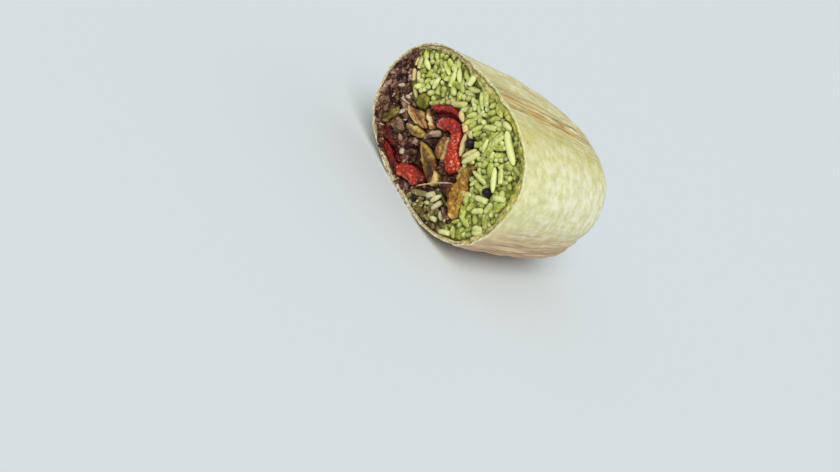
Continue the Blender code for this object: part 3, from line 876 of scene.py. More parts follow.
# %% [markdown]
# ## The strips
# Roasted peppers and onions lie along the roll, so the cut shows them end on. Each gets an
# outline, the depth of its front, and how its front slants. The outlines are used twice: for
# the strips themselves and for the crevices that they leave in the beans and the rice.

# %% Outlines of the strips
STRIPS = {
    "pepper_curl": [(-15.6, 2.6), (-14.6, 4.6), (-12, 7), (-8.4, 9.6), (-5, 10.3),
                    (-1.6, 9.4), (1.6, 8), (4.6, 5.8), (7, 2.8), (9.4, 0.4), (12.4, -0.6),
                    (14.6, -2.4), (14.8, -4.8), (13, -7.4), (9.8, -8.6), (7.2, -6.4),
                    (5.2, -3), (3.2, 0.2), (0.8, 2.6), (-2.8, 0.7), (-6.4, -0.2),
                    (-8.6, 0.6), (-11.2, 1.4), (-13.6, 1.6)],
    "pepper_low": [(-9.2, -23.4), (-7.4, -21.2), (-5.2, -19.8), (-1.4, -18.2), (1.4, -17.2),
                   (4.6, -16.8), (6.6, -17.8), (6.2, -20.2), (5.2, -22.4), (3.6, -23.9),
                   (0, -24.4), (-3, -25.2), (-5.6, -26.6), (-8.4, -25.6)],
    "pepper_edge": [(-24.4, -23), (-20.6, -22.9), (-17.4, -23.6), (-14, -24), (-10.6, -24.6),
                    (-9.4, -26), (-11.6, -27), (-14.8, -27), (-18.4, -26.2), (-22, -25)],
    "ochre_pepper": [(15.9, -3), (17, 0.4), (18.6, 3), (20.4, 2), (21.2, -1.4), (23, -3.2),
                    (25.6, -5.2), (27, -8.8), (28.4, -11.8), (30.2, -14.6), (29, -17.2),
                    (25.6, -16.8), (21, -14.6), (15.6, -11.8), (16.2, -9), (17.8, -7),
                    (16.6, -5)],
    "olive_pepper": [(-25, -0.6), (-24.2, 2.2), (-22.2, 3.9), (-19.6, 3.3), (-18.4, 0.8),
                    (-18.6, -1.6), (-20.6, -2.9), (-23.4, -2.6)],
    "onion_long": [(-8, -9.9), (-6, -9.1), (-3.9, -8.7), (-1, -8.6), (1.6, -9), (5.2, -10.6),
                   (7.2, -12.9), (8.6, -15.4), (9, -17.4), (5.6, -16.8), (2.4, -15.8),
                   (-0.8, -14.9), (-3.2, -13.6), (-5.4, -12.4), (-7, -11.2)],
    "onion_small": [(6.8, -11.9), (9.2, -11.9), (10.8, -13.1), (11.7, -14.8), (10.8, -16.5),
                    (9.6, -17.2), (8.9, -15.4), (7.9, -13.4)],
    "onion_centre": [(0.6, 1.2), (1.8, 1), (3, -0.6), (4.2, -2.8), (5.6, -4.8), (6.4, -6.6),
                     (4.8, -7.6), (2, -8.2), (-0.4, -7.6), (-2, -5.6), (-2.5, -3.2),
                     (-1.4, -0.8)],
    "onion_slanted": [(-5, -0.7), (-3.6, -0.8), (-3.2, -1.8), (-4.8, -4), (-6.8, -5.8),
                      (-7.2, -8), (-8.8, -7.9), (-9, -6), (-7.8, -3.6), (-6.2, -1.8)],
    "onion_left": [(-26, -5.9), (-23.6, -5), (-21, -3.9), (-19.2, -2.6), (-17.4, -2),
                   (-14.8, -3.4), (-11.6, -3.9), (-10.8, -5), (-13, -6.6), (-16.2, -7.7),
                   (-19.4, -8.5), (-21.6, -8.2), (-23.8, -7.3)],
    "onion_yellow": [(-19.4, -9.7), (-16.8, -8.9), (-14.6, -7.5), (-11.8, -6.9), (-9.6, -7),
                     (-9, -8), (-10.2, -9.6), (-12, -10.8), (-14.8, -11.6), (-17.6, -11.5)],
    "onion_corner": [(-31.6, -12.7), (-29.8, -10.2), (-27.6, -11.5), (-27.3, -14),
                     (-28.6, -16), (-29.4, -18.6), (-31.4, -19.6), (-32.8, -18),
                     (-32.2, -15.6)],
    "bean_lump_left": [(-26.2, -12.6), (-23.8, -11.8), (-21, -13), (-20, -15.2),
                       (-21.2, -17.4), (-23.8, -17.6), (-25.9, -15.9)],
    "bean_lump_middle": [(-15.6, -0.5), (-13.2, -0.6), (-10.8, -1), (-8.2, -2), (-8.4, -3.2),
                         (-10.4, -3.7), (-13, -2.7), (-15.2, -1.8)],
}


def torn(outline, seed):
    """A smooth outline made slightly ragged, as soft food tears."""
    outline = smooth_outline(outline, 0.45)
    off = np.stack([0.55 * rough(outline[:, 0], outline[:, 1], 2.2, seed)
                    + 0.25 * rough(outline[:, 0], outline[:, 1], 0.9, seed + 1),
                    0.55 * rough(outline[:, 0], outline[:, 1], 2.2, seed + 2)
                    + 0.25 * rough(outline[:, 0], outline[:, 1], 0.9, seed + 3)], -1)
    return outline + off


STRIP_OUTLINES = {name: torn(points, 300 + 5 * number)
                  for number, (name, points) in enumerate(STRIPS.items())}
BEANS = {"black_bean_top": (10.8, 7.3), "black_bean_right": (32.5, 1.5),
         "black_bean_low": (9.2, -25.0)}


def off_strips(x, z, *left_out):
    """Distance to the nearest strip or bean, negative inside it."""
    nearest = np.full(np.shape(x), 1e9)
    for name, outline in STRIP_OUTLINES.items():
        if name not in left_out:
            nearest = np.minimum(nearest, -depth_inside(outline, x, z))
    for middle in BEANS.values():
        nearest = np.minimum(nearest, np.hypot(x - middle[0], z - middle[1]) - 1.5)
    return nearest


# %% [markdown]
# ## The rice
# Cooked long-grain rice is a heap of separate grains, 5 to 9 mm long and 2 to 2.5 mm thick,
# pressed together by the wrap. Drawing grains as a bump pattern would look flat at the cut,
# so the front of the heap is made of real grains over a dark core that runs through the roll.
# The core's dark olive is partly green sauce and partly painted shade in the gaps between grains.
# To lie as grains do, they start at random and then push each other apart, as sticks in a
# shaken box, while the wall, the strips and the plane of the cut hold them in.

# %% The core under the grains
CORE_DEPTH = 2.7


def core_front(x, z, edge):
    return (CORE_DEPTH + 1.0 * rough(x, z, 4.5, 51) + 0.5 * rough(x, z, 1.6, 52)
            - 0.8 * bell(edge, 1.2) + 3.0 * ease(-off_strips(x, z), -0.4, 0.9))


def stain_at(x, z):
    """How much bean juice ran into the rice: most of it lies low, by the yellow pepper."""
    return ease(-z, 13, 18) * ease(x, 3, 8) * (1 - ease(x, 25, 31))


def core_finish():
    material, tree, shader, where = start_finish("rice_core", 0.5)
    cloud = speckle(tree, where, 300, 4, 0.6)
    # dark olive showing between the grains: partly green sauce, partly painted shade in the gaps
    base = blend(tree, limits(tree, cloud, 0.35, 0.65), show(70, 72, 6), show(140, 146, 34))
    base = blend(tree, read(tree, "stain"), base, show(58, 34, 12))
    colour_from(tree, shader, base)
    relief(tree, shader, cloud, 0.8, 0.8)
    return material


core_places, core_faces, _, _ = filled(rice_outline, 1.1, core_front,
                                       [6, 16, 28, 40, 52, 60, 67, 72, 75], 61, tapered=True)
core = make_piece("rice_core", core_places, core_faces, core_finish(),
                  {"stain": stain_at(core_places[:, 0], core_places[:, 2])})

# %% How far a grain may go
FIELD_STEP = 0.5
field_x = np.arange(-50, 50.1, FIELD_STEP)
field_z = np.arange(-32, 32.1, FIELD_STEP)
grid_x, grid_z = np.meshgrid(field_x, field_z, indexing="ij")
wide_outline = np.concatenate([inner_edge(np.linspace(low_angle, left_angle, 200)[1:-1], -1.7),
                               border_line])
rice_room = np.minimum(depth_inside(wide_outline, grid_x, grid_z),
                       off_strips(grid_x, grid_z))
slope_x, slope_z = np.gradient(rice_room, FIELD_STEP)
heap_front = 0.4 + 2.1 * rough(grid_x, grid_z, 10, 71) + 1.2 * rough(grid_x, grid_z, 4.5, 72)
heap_front += 1.0 * bell(rice_room, 2.0) * (off_strips(grid_x, grid_z) > 3)
heap_front += 0.8 * ease(grid_x, 24, 36)


def look_up(field, x, z):
    """The value of a grid at any place, from the four grid points round it."""
    i = np.clip((x - field_x[0]) / FIELD_STEP, 0, len(field_x) - 1.001)
    j = np.clip((z - field_z[0]) / FIELD_STEP, 0, len(field_z) - 1.001)
    i0, j0 = i.astype(int), j.astype(int)
    fi, fj = i - i0, j - j0
    return (field[i0, j0] * (1 - fi) * (1 - fj) + field[i0 + 1, j0] * fi * (1 - fj)
            + field[i0, j0 + 1] * (1 - fi) * fj + field[i0 + 1, j0 + 1] * fi * fj)


rice_area = float((rice_room > 0.5).sum()) * FIELD_STEP ** 2
print("rice at the cut:", round(rice_area), "square millimetres")

# %% [markdown]
# A few grains stand out at the cut, and these are placed one by one: the long pale one at the
# upper right, the one that stands up under the top, the tan ones by the red pepper, and the
# grey group at the bottom. All others settle round them.

# %% Grains placed one by one
HERO_GRAINS = [  # ends (x, z) and (x, z), depths of both ends, thickness, stain, warmth, light
    ((19.6, 22.1), (32.8, 16.7), -0.1, -0.4, 3.1, 0, 0.0, 0.9),
    ((15.6, 23.2), (20.6, 24.0), 0.4, 0.2, 2.4, 0, 0.1, 0.7),
    ((-9.7, 26.0), (-8.8, 20.4), -0.3, -0.2, 2.5, 0, 0.1, 0.9),
    ((27.0, 9.9), (34.2, 3.4), 0.2, 0.0, 2.4, 0, 0.0, 0.8),
    ((29.4, 11.6), (35.0, 7.2), 0.8, 0.4, 2.3, 0, 0.0, 0.5),
    ((29.9, -3.6), (36.2, -0.1), 0.2, 0.0, 2.5, 0, 0.0, 0.8),
    ((33.5, -8.0), (37.2, -3.6), 0.3, 0.0, 2.4, 0, 0.0, 0.6),
    ((6.4, 7.7), (11.0, 0.6), -0.2, 0.1, 2.6, 0, 1.0, 0.7),
    ((14.3, -0.2), (17.6, 9.4), 0.0, -0.3, 2.6, 0, 0.25, 0.8),
    ((12.0, 1.2), (14.8, 7.6), 0.6, 0.3, 2.4, 0, 0.5, 0.5),
    ((-3.4, 11.5), (0.8, 9.6), 0.2, 0.4, 2.2, 0, 1.0, 0.3),
    ((2.6, 9.4), (5.4, 7.9), 0.3, 0.8, 2.2, 0, 1.0, 0.4),
    ((6.9, 9.9), (9.4, 8.2), 0.4, 1.0, 2.0, 0, 0.8, 0.4),
    ((11.9, -20.8), (14.8, -16.8), 0.3, 0.0, 2.4, 0.55, 0.0, 1.0),
    ((15.9, -20.4), (17.6, -15.3), 0.0, 0.2, 2.3, 0.5, 0.0, 1.0),
    ((18.5, -21.8), (20.2, -15.8), 0.1, 0.3, 2.3, 0.55, 0.0, 0.9),
    ((22.3, -19.2), (25.2, -21.1), 0.3, 0.5, 2.3, 0.45, 0.0, 0.9),
    ((28.2, -25.0), (33.4, -20.9), 0.9, 0.7, 2.3, 0.05, 0.0, 0.9),
    ((7.0, -28.0), (9.8, -27.9), 0.8, 0.9, 1.9, 0.4, 0.2, 1.0),
    ((-30.8, 1.6), (-25.4, -1.3), 0.8, 1.0, 2.2, 0.0, 0.7, 0.5),
    ((-36.6, 5.2), (-32.0, 1.2), 0.6, 0.9, 2.1, 0.0, 0.8, 0.4),
    ((-39.6, 9.8), (-37.0, 5.6), 0.9, 0.9, 2.0, 0.0, 0.75, 0.3),
    ((-33.6, 6.0), (-29.6, 3.2), 0.3, 0.5, 2.1, 0.0, 0.35, 0.6),
    ((13.2, -23.6), (16.0, -21.4), 0.9, 0.7, 2.1, 0.35, 0.1, 0.8),
    ((20.6, -24.4), (23.8, -23.0), 0.8, 1.0, 2.1, 0.3, 0.1, 0.8),
    ((22.8, -8.6), (28.2, -4.4), 0.3, 0.0, 2.3, 0.0, 0.2, 0.5),
    ((-37.0, 10.6), (-34.2, 6.2), 0.5, 0.7, 2.3, 0.25, 0.3, 0.5),
    ((10.2, 15.4), (15.8, 19.6), 0.5, 0.2, 2.4, 0, 0.0, 0.4),
    ((36.2, 2.6), (41.2, 6.4), 0.2, 0.4, 2.4, 0, 0.0, 0.7),
    ((38.8, -11.2), (43.0, -8.0), 0.4, 0.7, 2.3, 0, 0.0, 0.6),
]
print(len(HERO_GRAINS), "grains placed by hand")

# %% Let the grains settle
GRAIN_LAYER = 5.4         # depth of the heap that is made of grains
GRAIN_SHARE = 0.86        # of that layer is rice
grain_chance = np.random.default_rng(2024)

mean_volume = math.pi * 1.27 ** 2 * 5.3
grain_count = int(rice_area * GRAIN_LAYER * GRAIN_SHARE / mean_volume)
tries_x = grain_chance.uniform(-46, 48, grain_count * 6)
tries_z = grain_chance.uniform(-30, 30, grain_count * 6)
kept = np.flatnonzero(look_up(rice_room, tries_x, tries_z) > 0.5)[:grain_count]
count = len(kept)
middle = np.stack([tries_x[kept], grain_chance.uniform(1.0, 6.0, count), tries_z[kept]], -1)
pointing = grain_chance.normal(size=(count, 3)) * (1, 1.9, 1)
pointing /= np.linalg.norm(pointing, axis=1)[:, None]
thickness = grain_chance.uniform(2.4, 3.1, count)
length = np.clip(grain_chance.normal(6.2, 1.4, count), 3.8, 9.0)

hero_ends = np.array([[(a[0], da, a[1]), (b[0], db, b[1])]
                      for a, b, da, db, *_ in HERO_GRAINS])
hero_ends[:, :, 1] += np.array([h[4] for h in HERO_GRAINS])[:, None] / 2
hero_span = hero_ends[:, 1] - hero_ends[:, 0]
hero_length = np.linalg.norm(hero_span, axis=1)
middle = np.concatenate([hero_ends.mean(1), middle])
pointing = np.concatenate([hero_span / hero_length[:, None], pointing])
thickness = np.concatenate([[h[4] * 1.1 for h in HERO_GRAINS], thickness])
length = np.concatenate([hero_length, length])
heroes = len(HERO_GRAINS)
count = len(middle)
half = np.maximum(length - thickness, 0.4) / 2
mobile = np.ones(count)
mobile[:heroes] = 0.0


def settle_once(middle, pointing, pull):
    """One round of pushing apart and holding in."""
    apart = np.linalg.norm(middle[:, None] - middle[None], axis=-1)
    near = apart < half[:, None] + half[None] + (thickness[:, None] + thickness[None]) / 2
    i, j = np.nonzero(np.triu(near, 1))
    u, v, w = pointing[i], pointing[j], middle[i] - middle[j]
    b, d, e = (u * v).sum(1), (u * w).sum(1), (v * w).sum(1)
    base = np.maximum(1 - b * b, 1e-6)
    s = np.clip((b * e - d) / base, -half[i], half[i])
    t = np.clip(b * s + e, -half[j], half[j])
    s = np.clip(b * t - d, -half[i], half[i])
    gap = w + u * s[:, None] - v * t[:, None]
    distance = np.linalg.norm(gap, axis=1) + 1e-9
    overlap = 0.41 * (thickness[i] + thickness[j]) - distance
    touch = overlap > 0
    i, j, s, t = i[touch], j[touch], s[touch], t[touch]
    push = gap[touch] / distance[touch][:, None] * overlap[touch][:, None]
    lead = mobile[i] + mobile[j] + 1e-9
    moved, turned_by = np.zeros_like(middle), np.zeros_like(middle)
    hits = np.ones(len(middle))
    for index, part, sign in ((i, s, 1), (j, t, -1)):
        weight = (mobile[index] / lead)[:, None]
        np.add.at(moved, index, sign * push * weight)
        np.add.at(turned_by, index, sign * push * weight * (
            part / (half[index] ** 2 + 0.6) * 0.55)[:, None])
        np.add.at(hits, index, 1)
    relax = 1.3 / np.sqrt(hits)[:, None]
    middle = middle + moved * relax
    pointing = pointing + turned_by * relax
    pointing /= np.linalg.norm(pointing, axis=1)[:, None]
    for end in (-1, 0, 1):
        spot = middle + pointing * ((half + 0.3) * end)[:, None]
        gone = np.maximum(thickness * 0.42 - look_up(rice_room, spot[:, 0], spot[:, 2]), 0)
        push = np.stack([look_up(slope_x, spot[:, 0], spot[:, 2]) * gone, 0 * gone,
                         look_up(slope_z, spot[:, 0], spot[:, 2]) * gone], -1)
        front = look_up(heap_front, spot[:, 0], spot[:, 2]) + thickness * 0.46
        push[:, 1] += np.maximum(front - spot[:, 1], 0)
        push[:, 1] -= np.maximum(spot[:, 1] - (GRAIN_LAYER + 0.6), 0)
        push *= mobile[:, None] * 0.6
        middle = middle + push
        pointing = pointing + push * (end * half / (half ** 2 + 0.6) * 0.6)[:, None]
    middle[:, 1] -= pull * mobile
    pointing /= np.linalg.norm(pointing, axis=1)[:, None]
    return middle, pointing, float(overlap[touch].sum())


for turn_number in range(110):
    middle, pointing, left_over = settle_once(middle, pointing, 0.035)
print(count, "grains; overlap left for each:", round(left_over / count, 2), "mm")

# %% [markdown]
# The settled grains become points of a small mesh, which carries for each grain its direction,
# its size, its kind and its tints. Geometry Nodes puts a grain on every point. Three kinds are
# enough for a heap: a straight one, a bent one, and one that the knife cut short. The tree ends
# in Realize Instances, so that the grains are plain mesh in the finished piece.


# %% Three kinds of grain
def grain_shape(name, bend, cut_at=1.0, fullness=3.1, round_steps=8, long_steps=7):
    """A grain of length 1 along X and thickness 1, which may be bent or cut short."""
    places, faces = [], []
    stops = np.linspace(-1, 1, long_steps + 2)[1:-1]
    stops = np.sin(stops * math.pi / 2 * 1.04)
    for stop in stops:
        stop = min(stop, cut_at)
        radius = 0.5 * (1 - abs(stop) ** fullness) ** 0.5 * (1 - 0.07 * stop)
        for k in range(round_steps):
            angle = 2 * math.pi * k / round_steps
            places.append((stop / 2, math.cos(angle) * radius,
                           math.sin(angle) * radius * 0.9 + bend * (1 - stop * stop)))
    rows_made = len(stops)
    faces = band_faces(rows_made, round_steps)
    places += [(-0.5, 0, 0), (min(0.5, cut_at / 2 + 0.01), 0, 0)]
    tip = rows_made * round_steps
    last = (rows_made - 1) * round_steps
    faces += [(tip, (k + 1) % round_steps, k) for k in range(round_steps)]
    faces += [(tip + 1, last + k, last + (k + 1) % round_steps) for k in range(round_steps)]
    mesh = bpy.data.meshes.new(name)
    mesh.from_pydata(places, [], faces)
    # how near each point lies to the grain's end; the rice finish paints a highlight there
    mesh.attributes.new("tip", "FLOAT", "POINT").data.foreach_set(
        "value", [min(abs(place[0]) * 2, 1.0) for place in places])
    shell = bmesh.new()
    shell.from_mesh(mesh)
    bmesh.ops.recalc_face_normals(shell, faces=shell.faces)
    shell.to_mesh(mesh)
    shell.free()
    mesh.shade_smooth()
    thing = bpy.data.objects.new(name, mesh)
    scene.collection.objects.link(thing)
    return thing


grain_kinds = [grain_shape("grain_straight", 0.06), grain_shape("grain_bent", 0.24),
               grain_shape("grain_cut", 0.05, cut_at=0.62),
               grain_shape("grain_long", 0.10, fullness=1.7)]
print("faces of a grain:", len(grain_kinds[0].data.polygons))


# %% The tree that puts a grain on every point
def new_tree(name, inputs):
    """A Geometry Nodes tree with a geometry socket and named inputs."""
    tree = bpy.data.node_groups.new(name, "GeometryNodeTree")
    tree.interface.new_socket("Geometry", in_out="INPUT", socket_type="NodeSocketGeometry")
    for label, kind in inputs:
        tree.interface.new_socket(label, in_out="INPUT", socket_type="NodeSocket" + kind)
    tree.interface.new_socket("Geometry", in_out="OUTPUT", socket_type="NodeSocketGeometry")
    return tree, tree.nodes.new("NodeGroupInput"), tree.nodes.new("NodeGroupOutput")


def step(tree, kind, inputs=None, **settings):
    made = tree.nodes.new(kind)
    for setting, value in settings.items():
        setattr(made, setting, value)
    for socket, value in (inputs or {}).items():
        if isinstance(value, bpy.types.NodeSocket):
            tree.links.new(value, made.inputs[socket])
        else:
            made.inputs[socket].default_value = value
    return made


def stored(tree, name, kind):
    node = step(tree, "GeometryNodeInputNamedAttribute", {"Name": name}, data_type=kind)
    return node.outputs["Attribute"]


def kinds_to_pick(tree, sources, labels):
    """The objects of the named inputs as instances, to pick from by number."""
    joined = tree.nodes.new("GeometryNodeGeometryToInstance")
    for label in labels:
        info = step(tree, "GeometryNodeObjectInfo", {"Object": sources.outputs[label]})
        tree.links.new(info.outputs["Geometry"], joined.inputs["Geometry"])
    return joined.outputs[0]


def run_tree(tree, carrier, values):
    """Run the tree on a mesh object and return the result as a plain mesh."""
    modifier = carrier.modifiers.new(tree.name, "NODES")
    modifier.node_group = tree
    for item in tree.interface.items_tree:
        if item.in_out == "INPUT" and item.name in values:
            modifier[item.identifier] = values[item.name]
    bpy.context.view_layer.update()
    result = bpy.data.meshes.new_from_object(
        carrier.evaluated_get(bpy.context.evaluated_depsgraph_get()))
    carrier.modifiers.remove(modifier)
    return result


KIND_LABELS = ["First kind", "Second kind", "Third kind", "Fourth kind"]
grain_tree, grain_in, grain_out = new_tree("rice_grains", [(label, "Object") for label in
                                                           KIND_LABELS]
                                           + [("Thickness", "Float"), ("Finish", "Material")])
grown = step(grain_tree, "ShaderNodeVectorMath", {
    0: stored(grain_tree, "grain_size", "FLOAT_VECTOR"),
    "Scale": grain_in.outputs["Thickness"]}, operation="SCALE")
placed = step(grain_tree, "GeometryNodeInstanceOnPoints", {
    "Points": grain_in.outputs["Geometry"],
    "Instance": kinds_to_pick(grain_tree, grain_in, KIND_LABELS),
    "Pick Instance": True, "Instance Index": stored(grain_tree, "grain_kind", "INT"),
    "Rotation": stored(grain_tree, "grain_turn", "FLOAT_VECTOR"),
    "Scale": grown.outputs[0]})
plain = step(grain_tree, "GeometryNodeRealizeInstances", {"Geometry": placed.outputs[0]})
coated = step(grain_tree, "GeometryNodeSetMaterial", {
    "Geometry": plain.outputs[0], "Material": grain_in.outputs["Finish"]})
grain_tree.links.new(coated.outputs[0], grain_out.inputs["Geometry"])
print("tree:", grain_tree.name, "with", len(grain_tree.nodes), "nodes")

# %% [markdown]
# Cooked rice is translucent, wet and never quite one colour. This rice is green from herbs,
# yellow-green where sauce has soaked in, tan by the red pepper, and grey-brown where bean juice
# has run into it. Each grain carries these tints, and a little light passes under its surface.


# %% Finish of the rice
def rice_finish():
    material, tree, shader, where = start_finish("rice_grain", 0.40, Subsurface_Weight=0.12,
                                                 Subsurface_Scale=0.0012,
                                                 Specular_IOR_Level=0.26)
    shader.inputs["Subsurface Radius"].default_value = (1.0, 0.95, 0.25)
    cloud = speckle(tree, where, 420, 3, 0.55)
    fine = speckle(tree, where, 1100, 3, 0.6)
    green = blend(tree, limits(tree, cloud, 0.38, 0.60), show(148, 160, 38),
                  show(216, 222, 116))
    # painted highlight: the ends of each grain are paler
    green = blend(tree, times(tree, limits(tree, read(tree, "tip"), 0.5, 0.95), 0.6), green,
                  show(236, 240, 172))
    green = blend(tree, read(tree, "light"), green, show(236, 240, 168))
    green = blend(tree, read(tree, "shade"), green, show(124, 134, 22))
    green = blend(tree, read(tree, "warmth"), green, show(220, 190, 138))
    green = blend(tree, read(tree, "stain"), green, show(96, 68, 32))
    green = blend(tree, times(tree, read(tree, "grey"), limits(tree, cloud, 0.3, 0.55, 0.7, 1)),
                  green, show(206, 196, 158))
    green = blend(tree, limits(tree, fine, 0.56, 0.66, 0, 0.6), green, show(246, 247, 196))
    # painted shade in the gaps: deeper grain surface goes dark olive, dark brown where stained
    green = blend(tree, read(tree, "gap_shade"), green, blend(
        tree, times(tree, read(tree, "stain"), 1.1), show(66, 72, 4), show(40, 22, 8)))
    colour_from(tree, shader, green)
    relief(tree, shader, times(tree, cloud, fine, "ADD"), 0.24, 0.7)
    return material


# %% Put the grains in place
def turns_of(directions, spins):
    """Euler angles that turn X to each direction, with a spin round it."""
    made = []
    for direction, spin in zip(directions, spins):
        aim = Vector(direction).to_track_quat("X", "Z")
        made.append((aim @ Euler((spin, 0, 0)).to_quaternion()).to_euler("XYZ"))
    return np.array([tuple(euler) for euler in made])


def hold_inside(middle, pointing, half, thickness, gap):
    """Grains whose ends would pass the wall are moved towards the middle of the cut."""
    for _ in range(12):
        for end in (-1, 1):
            spot = middle + pointing * (half * end)[:, None]
            reach_now = np.hypot(spot[:, 0], spot[:, 2])
            wall = np.hypot(*inner_edge(np.arctan2(spot[:, 2], spot[:, 0])).T)
            over = np.maximum(reach_now + thickness * 0.5 - gap - wall, 0)
            middle[:, 0] -= spot[:, 0] / reach_now * over * 0.7
            middle[:, 2] -= spot[:, 2] / reach_now * over * 0.7
    return middle


middle = hold_inside(middle, pointing, half, thickness,
                     np.where(middle[:, 2] > -12, 1.7, 0.0))
x, z = middle[:, 0], middle[:, 2]
stain = (0.85 * stain_at(x, z)
         + 0.35 * bell(look_up(rice_room, x, z), 1.6) * (x < -14) * (z < 14))
stain = np.clip(stain + grain_chance.uniform(-0.12, 0.10, count) * (stain > 0.05), 0, 0.85)
warmth = np.clip(0.85 * bell(path_distance([(-10, 11), (-3, 11), (4, 8), (9, 3), (14, -0.5)],
                                           x, z), 1.9) + grain_chance.uniform(-0.1, 0.1, count), 0, 1)
light = np.clip(grain_chance.uniform(-0.5, 0.75, count), 0, 1)
dark = np.clip(grain_chance.uniform(-0.7, 0.4, count), 0, 1)
dark = np.maximum(dark, 0.55 * ease(middle[:, 1], 2.2, 4.6))
dark = np.clip(dark + 0.30 * ease(x, 20, 32) * grain_chance.uniform(0, 2, count), 0, 0.9)
grey = np.zeros(count)
for i, hero in enumerate(HERO_GRAINS):
    stain[i], warmth[i], light[i], dark[i] = 0.0, hero[6], hero[7], 0.0
    grey[i] = hero[5] * 1.6
kind = grain_chance.choice([0, 1, 2], count, p=[0.45, 0.35, 0.20])
kind[:heroes] = grain_chance.choice([0, 1], heroes)
kind[0] = 3
spin = grain_chance.uniform(0, 2 * math.pi, count)
carrier_mesh = bpy.data.meshes.new("grain_points")
carrier_mesh.from_pydata((middle * MM + FACE).tolist(), [], [])
for key, numbers in dict(stain=stain, warmth=warmth, light=light, shade=dark,
                         grey=np.clip(grey, 0, 0.95)).items():
    carrier_mesh.attributes.new(key, "FLOAT", "POINT").data.foreach_set(
        "value", numbers.astype(np.float32))
carrier_mesh.attributes.new("grain_kind", "INT", "POINT").data.foreach_set(
    "value", kind.astype(np.int32))
carrier_mesh.attributes.new("grain_turn", "FLOAT_VECTOR", "POINT").data.foreach_set(
    "vector", turns_of(pointing, spin).astype(np.float32).ravel())
sizes = np.stack([length + 0.5, thickness, thickness], -1) * MM
carrier_mesh.attributes.new("grain_size", "FLOAT_VECTOR", "POINT").data.foreach_set(
    "vector", sizes.astype(np.float32).ravel())
carrier = bpy.data.objects.new("grain_points", carrier_mesh)
scene.collection.objects.link(carrier)
grain_mesh = run_tree(grain_tree, carrier, {
    **dict(zip(KIND_LABELS, grain_kinds)), "Thickness": 1.0, "Finish": rice_finish()})
grain_spots = np.empty(len(grain_mesh.vertices) * 3)
grain_mesh.vertices.foreach_get("co", grain_spots)
grain_spots = (grain_spots.reshape(-1, 3) - FACE) / MM
grain_spots[:, 2] = np.maximum(grain_spots[:, 2], 0.9 - REST_HEIGHT)
grain_mesh.vertices.foreach_set("co", (grain_spots * MM + FACE).ravel())
# painted shade: grain surface lying deeper below the front of the heap is darkened
below = grain_spots[:, 1] - look_up(heap_front, grain_spots[:, 0], grain_spots[:, 2])
grain_mesh.attributes.new("gap_shade", "FLOAT", "POINT").data.foreach_set(
    "value", (0.88 * ease(below, 0.7, 2.8)).astype(np.float32))
grains = bpy.data.objects.new("rice_grains", grain_mesh)
scene.collection.objects.link(grains)
for spare in [carrier] + grain_kinds:
    bpy.data.objects.remove(spare, do_unlink=True)
stand_for(core, "rice", "rice")
stand_for(grains, "rice", "rice")

# %% [markdown]
# ## The beans
# The mashed beans are dry crumbs stuck together: purple-brown, with pale tan broken edges and
# dark hollows between. The front is a fine surface, pushed in and out at three scales, and
# hundreds of loose crumbs lie on it, scattered by Geometry Nodes with a fixed seed.

# %% The body of the beans
HOLLOWS = [  # x, z, half width, depth, all in millimetres
    (-3.5, -15.8, 3.6, 2.6), (0.5, -17.2, 3.0, 2.4), (-7.5, -13.6, 2.2, 1.8),
    (12.5, -9.8, 2.6, 2.6), (16.5, -14.0, 3.2, 2.6), (21.5, -15.4, 2.6, 2.4),
    (-1.5, -9.0, 1.8, 1.4), (-12.0, -13.8, 1.8, 1.2), (-34.6, 0.4, 1.5, 1.4),
    (-39.5, 3.2, 1.4, 1.3), (-31.5, -8.4, 2.0, 1.5), (-16.5, -21.0, 3.6, 1.6),
    (-29.5, -22.8, 1.6, 1.6), (7.2, -6.6, 2.4, 2.2), (-37.0, -8.0, 1.6, 1.2),
]


def mash_front(x, z, edge):
    depth = 1.9 + 2.4 * rough(x, z, 5.5, 81) + 1.9 * rough(x, z, 2.3, 82)
    depth = depth + 1.1 * abs(rough(x, z, 1.1, 83)) + 0.4 * rough(x, z, 0.6, 84)
    for hx, hz, wide, deep in HOLLOWS:
        depth = depth + deep * bell(np.hypot(x - hx, z - hz), wide)
    clear = off_strips(x, z)
    depth = depth + 1.4 * bell(np.maximum(clear, 0), 0.9) + 4.0 * ease(-clear, -0.2, 0.8)
    by_wall = bell(edge, 2.2) * (np.hypot(x, z * 1.5) > 34)
    depth = depth * (1 - 0.75 * by_wall)
    return np.maximum(depth, 0.1) - 0.4 * bell(edge, 1.0)


mash_places, mash_faces, mash_fronts, _ = filled(
    mash_outline, 0.5, mash_front, [6, 14, 26, 40, 52, 60, 67, 72, 75], 91, tapered=True)


def wine_at(x, z):
    """Where juice of the red pepper stains the beans."""
    return np.maximum(bell(path_distance([(-27, -19), (-17, -23), (-9, -24)], x, z), 2.6),
                      bell(path_distance([(-1, -17), (5, -18.5), (9, -21)], x, z), 2.2))


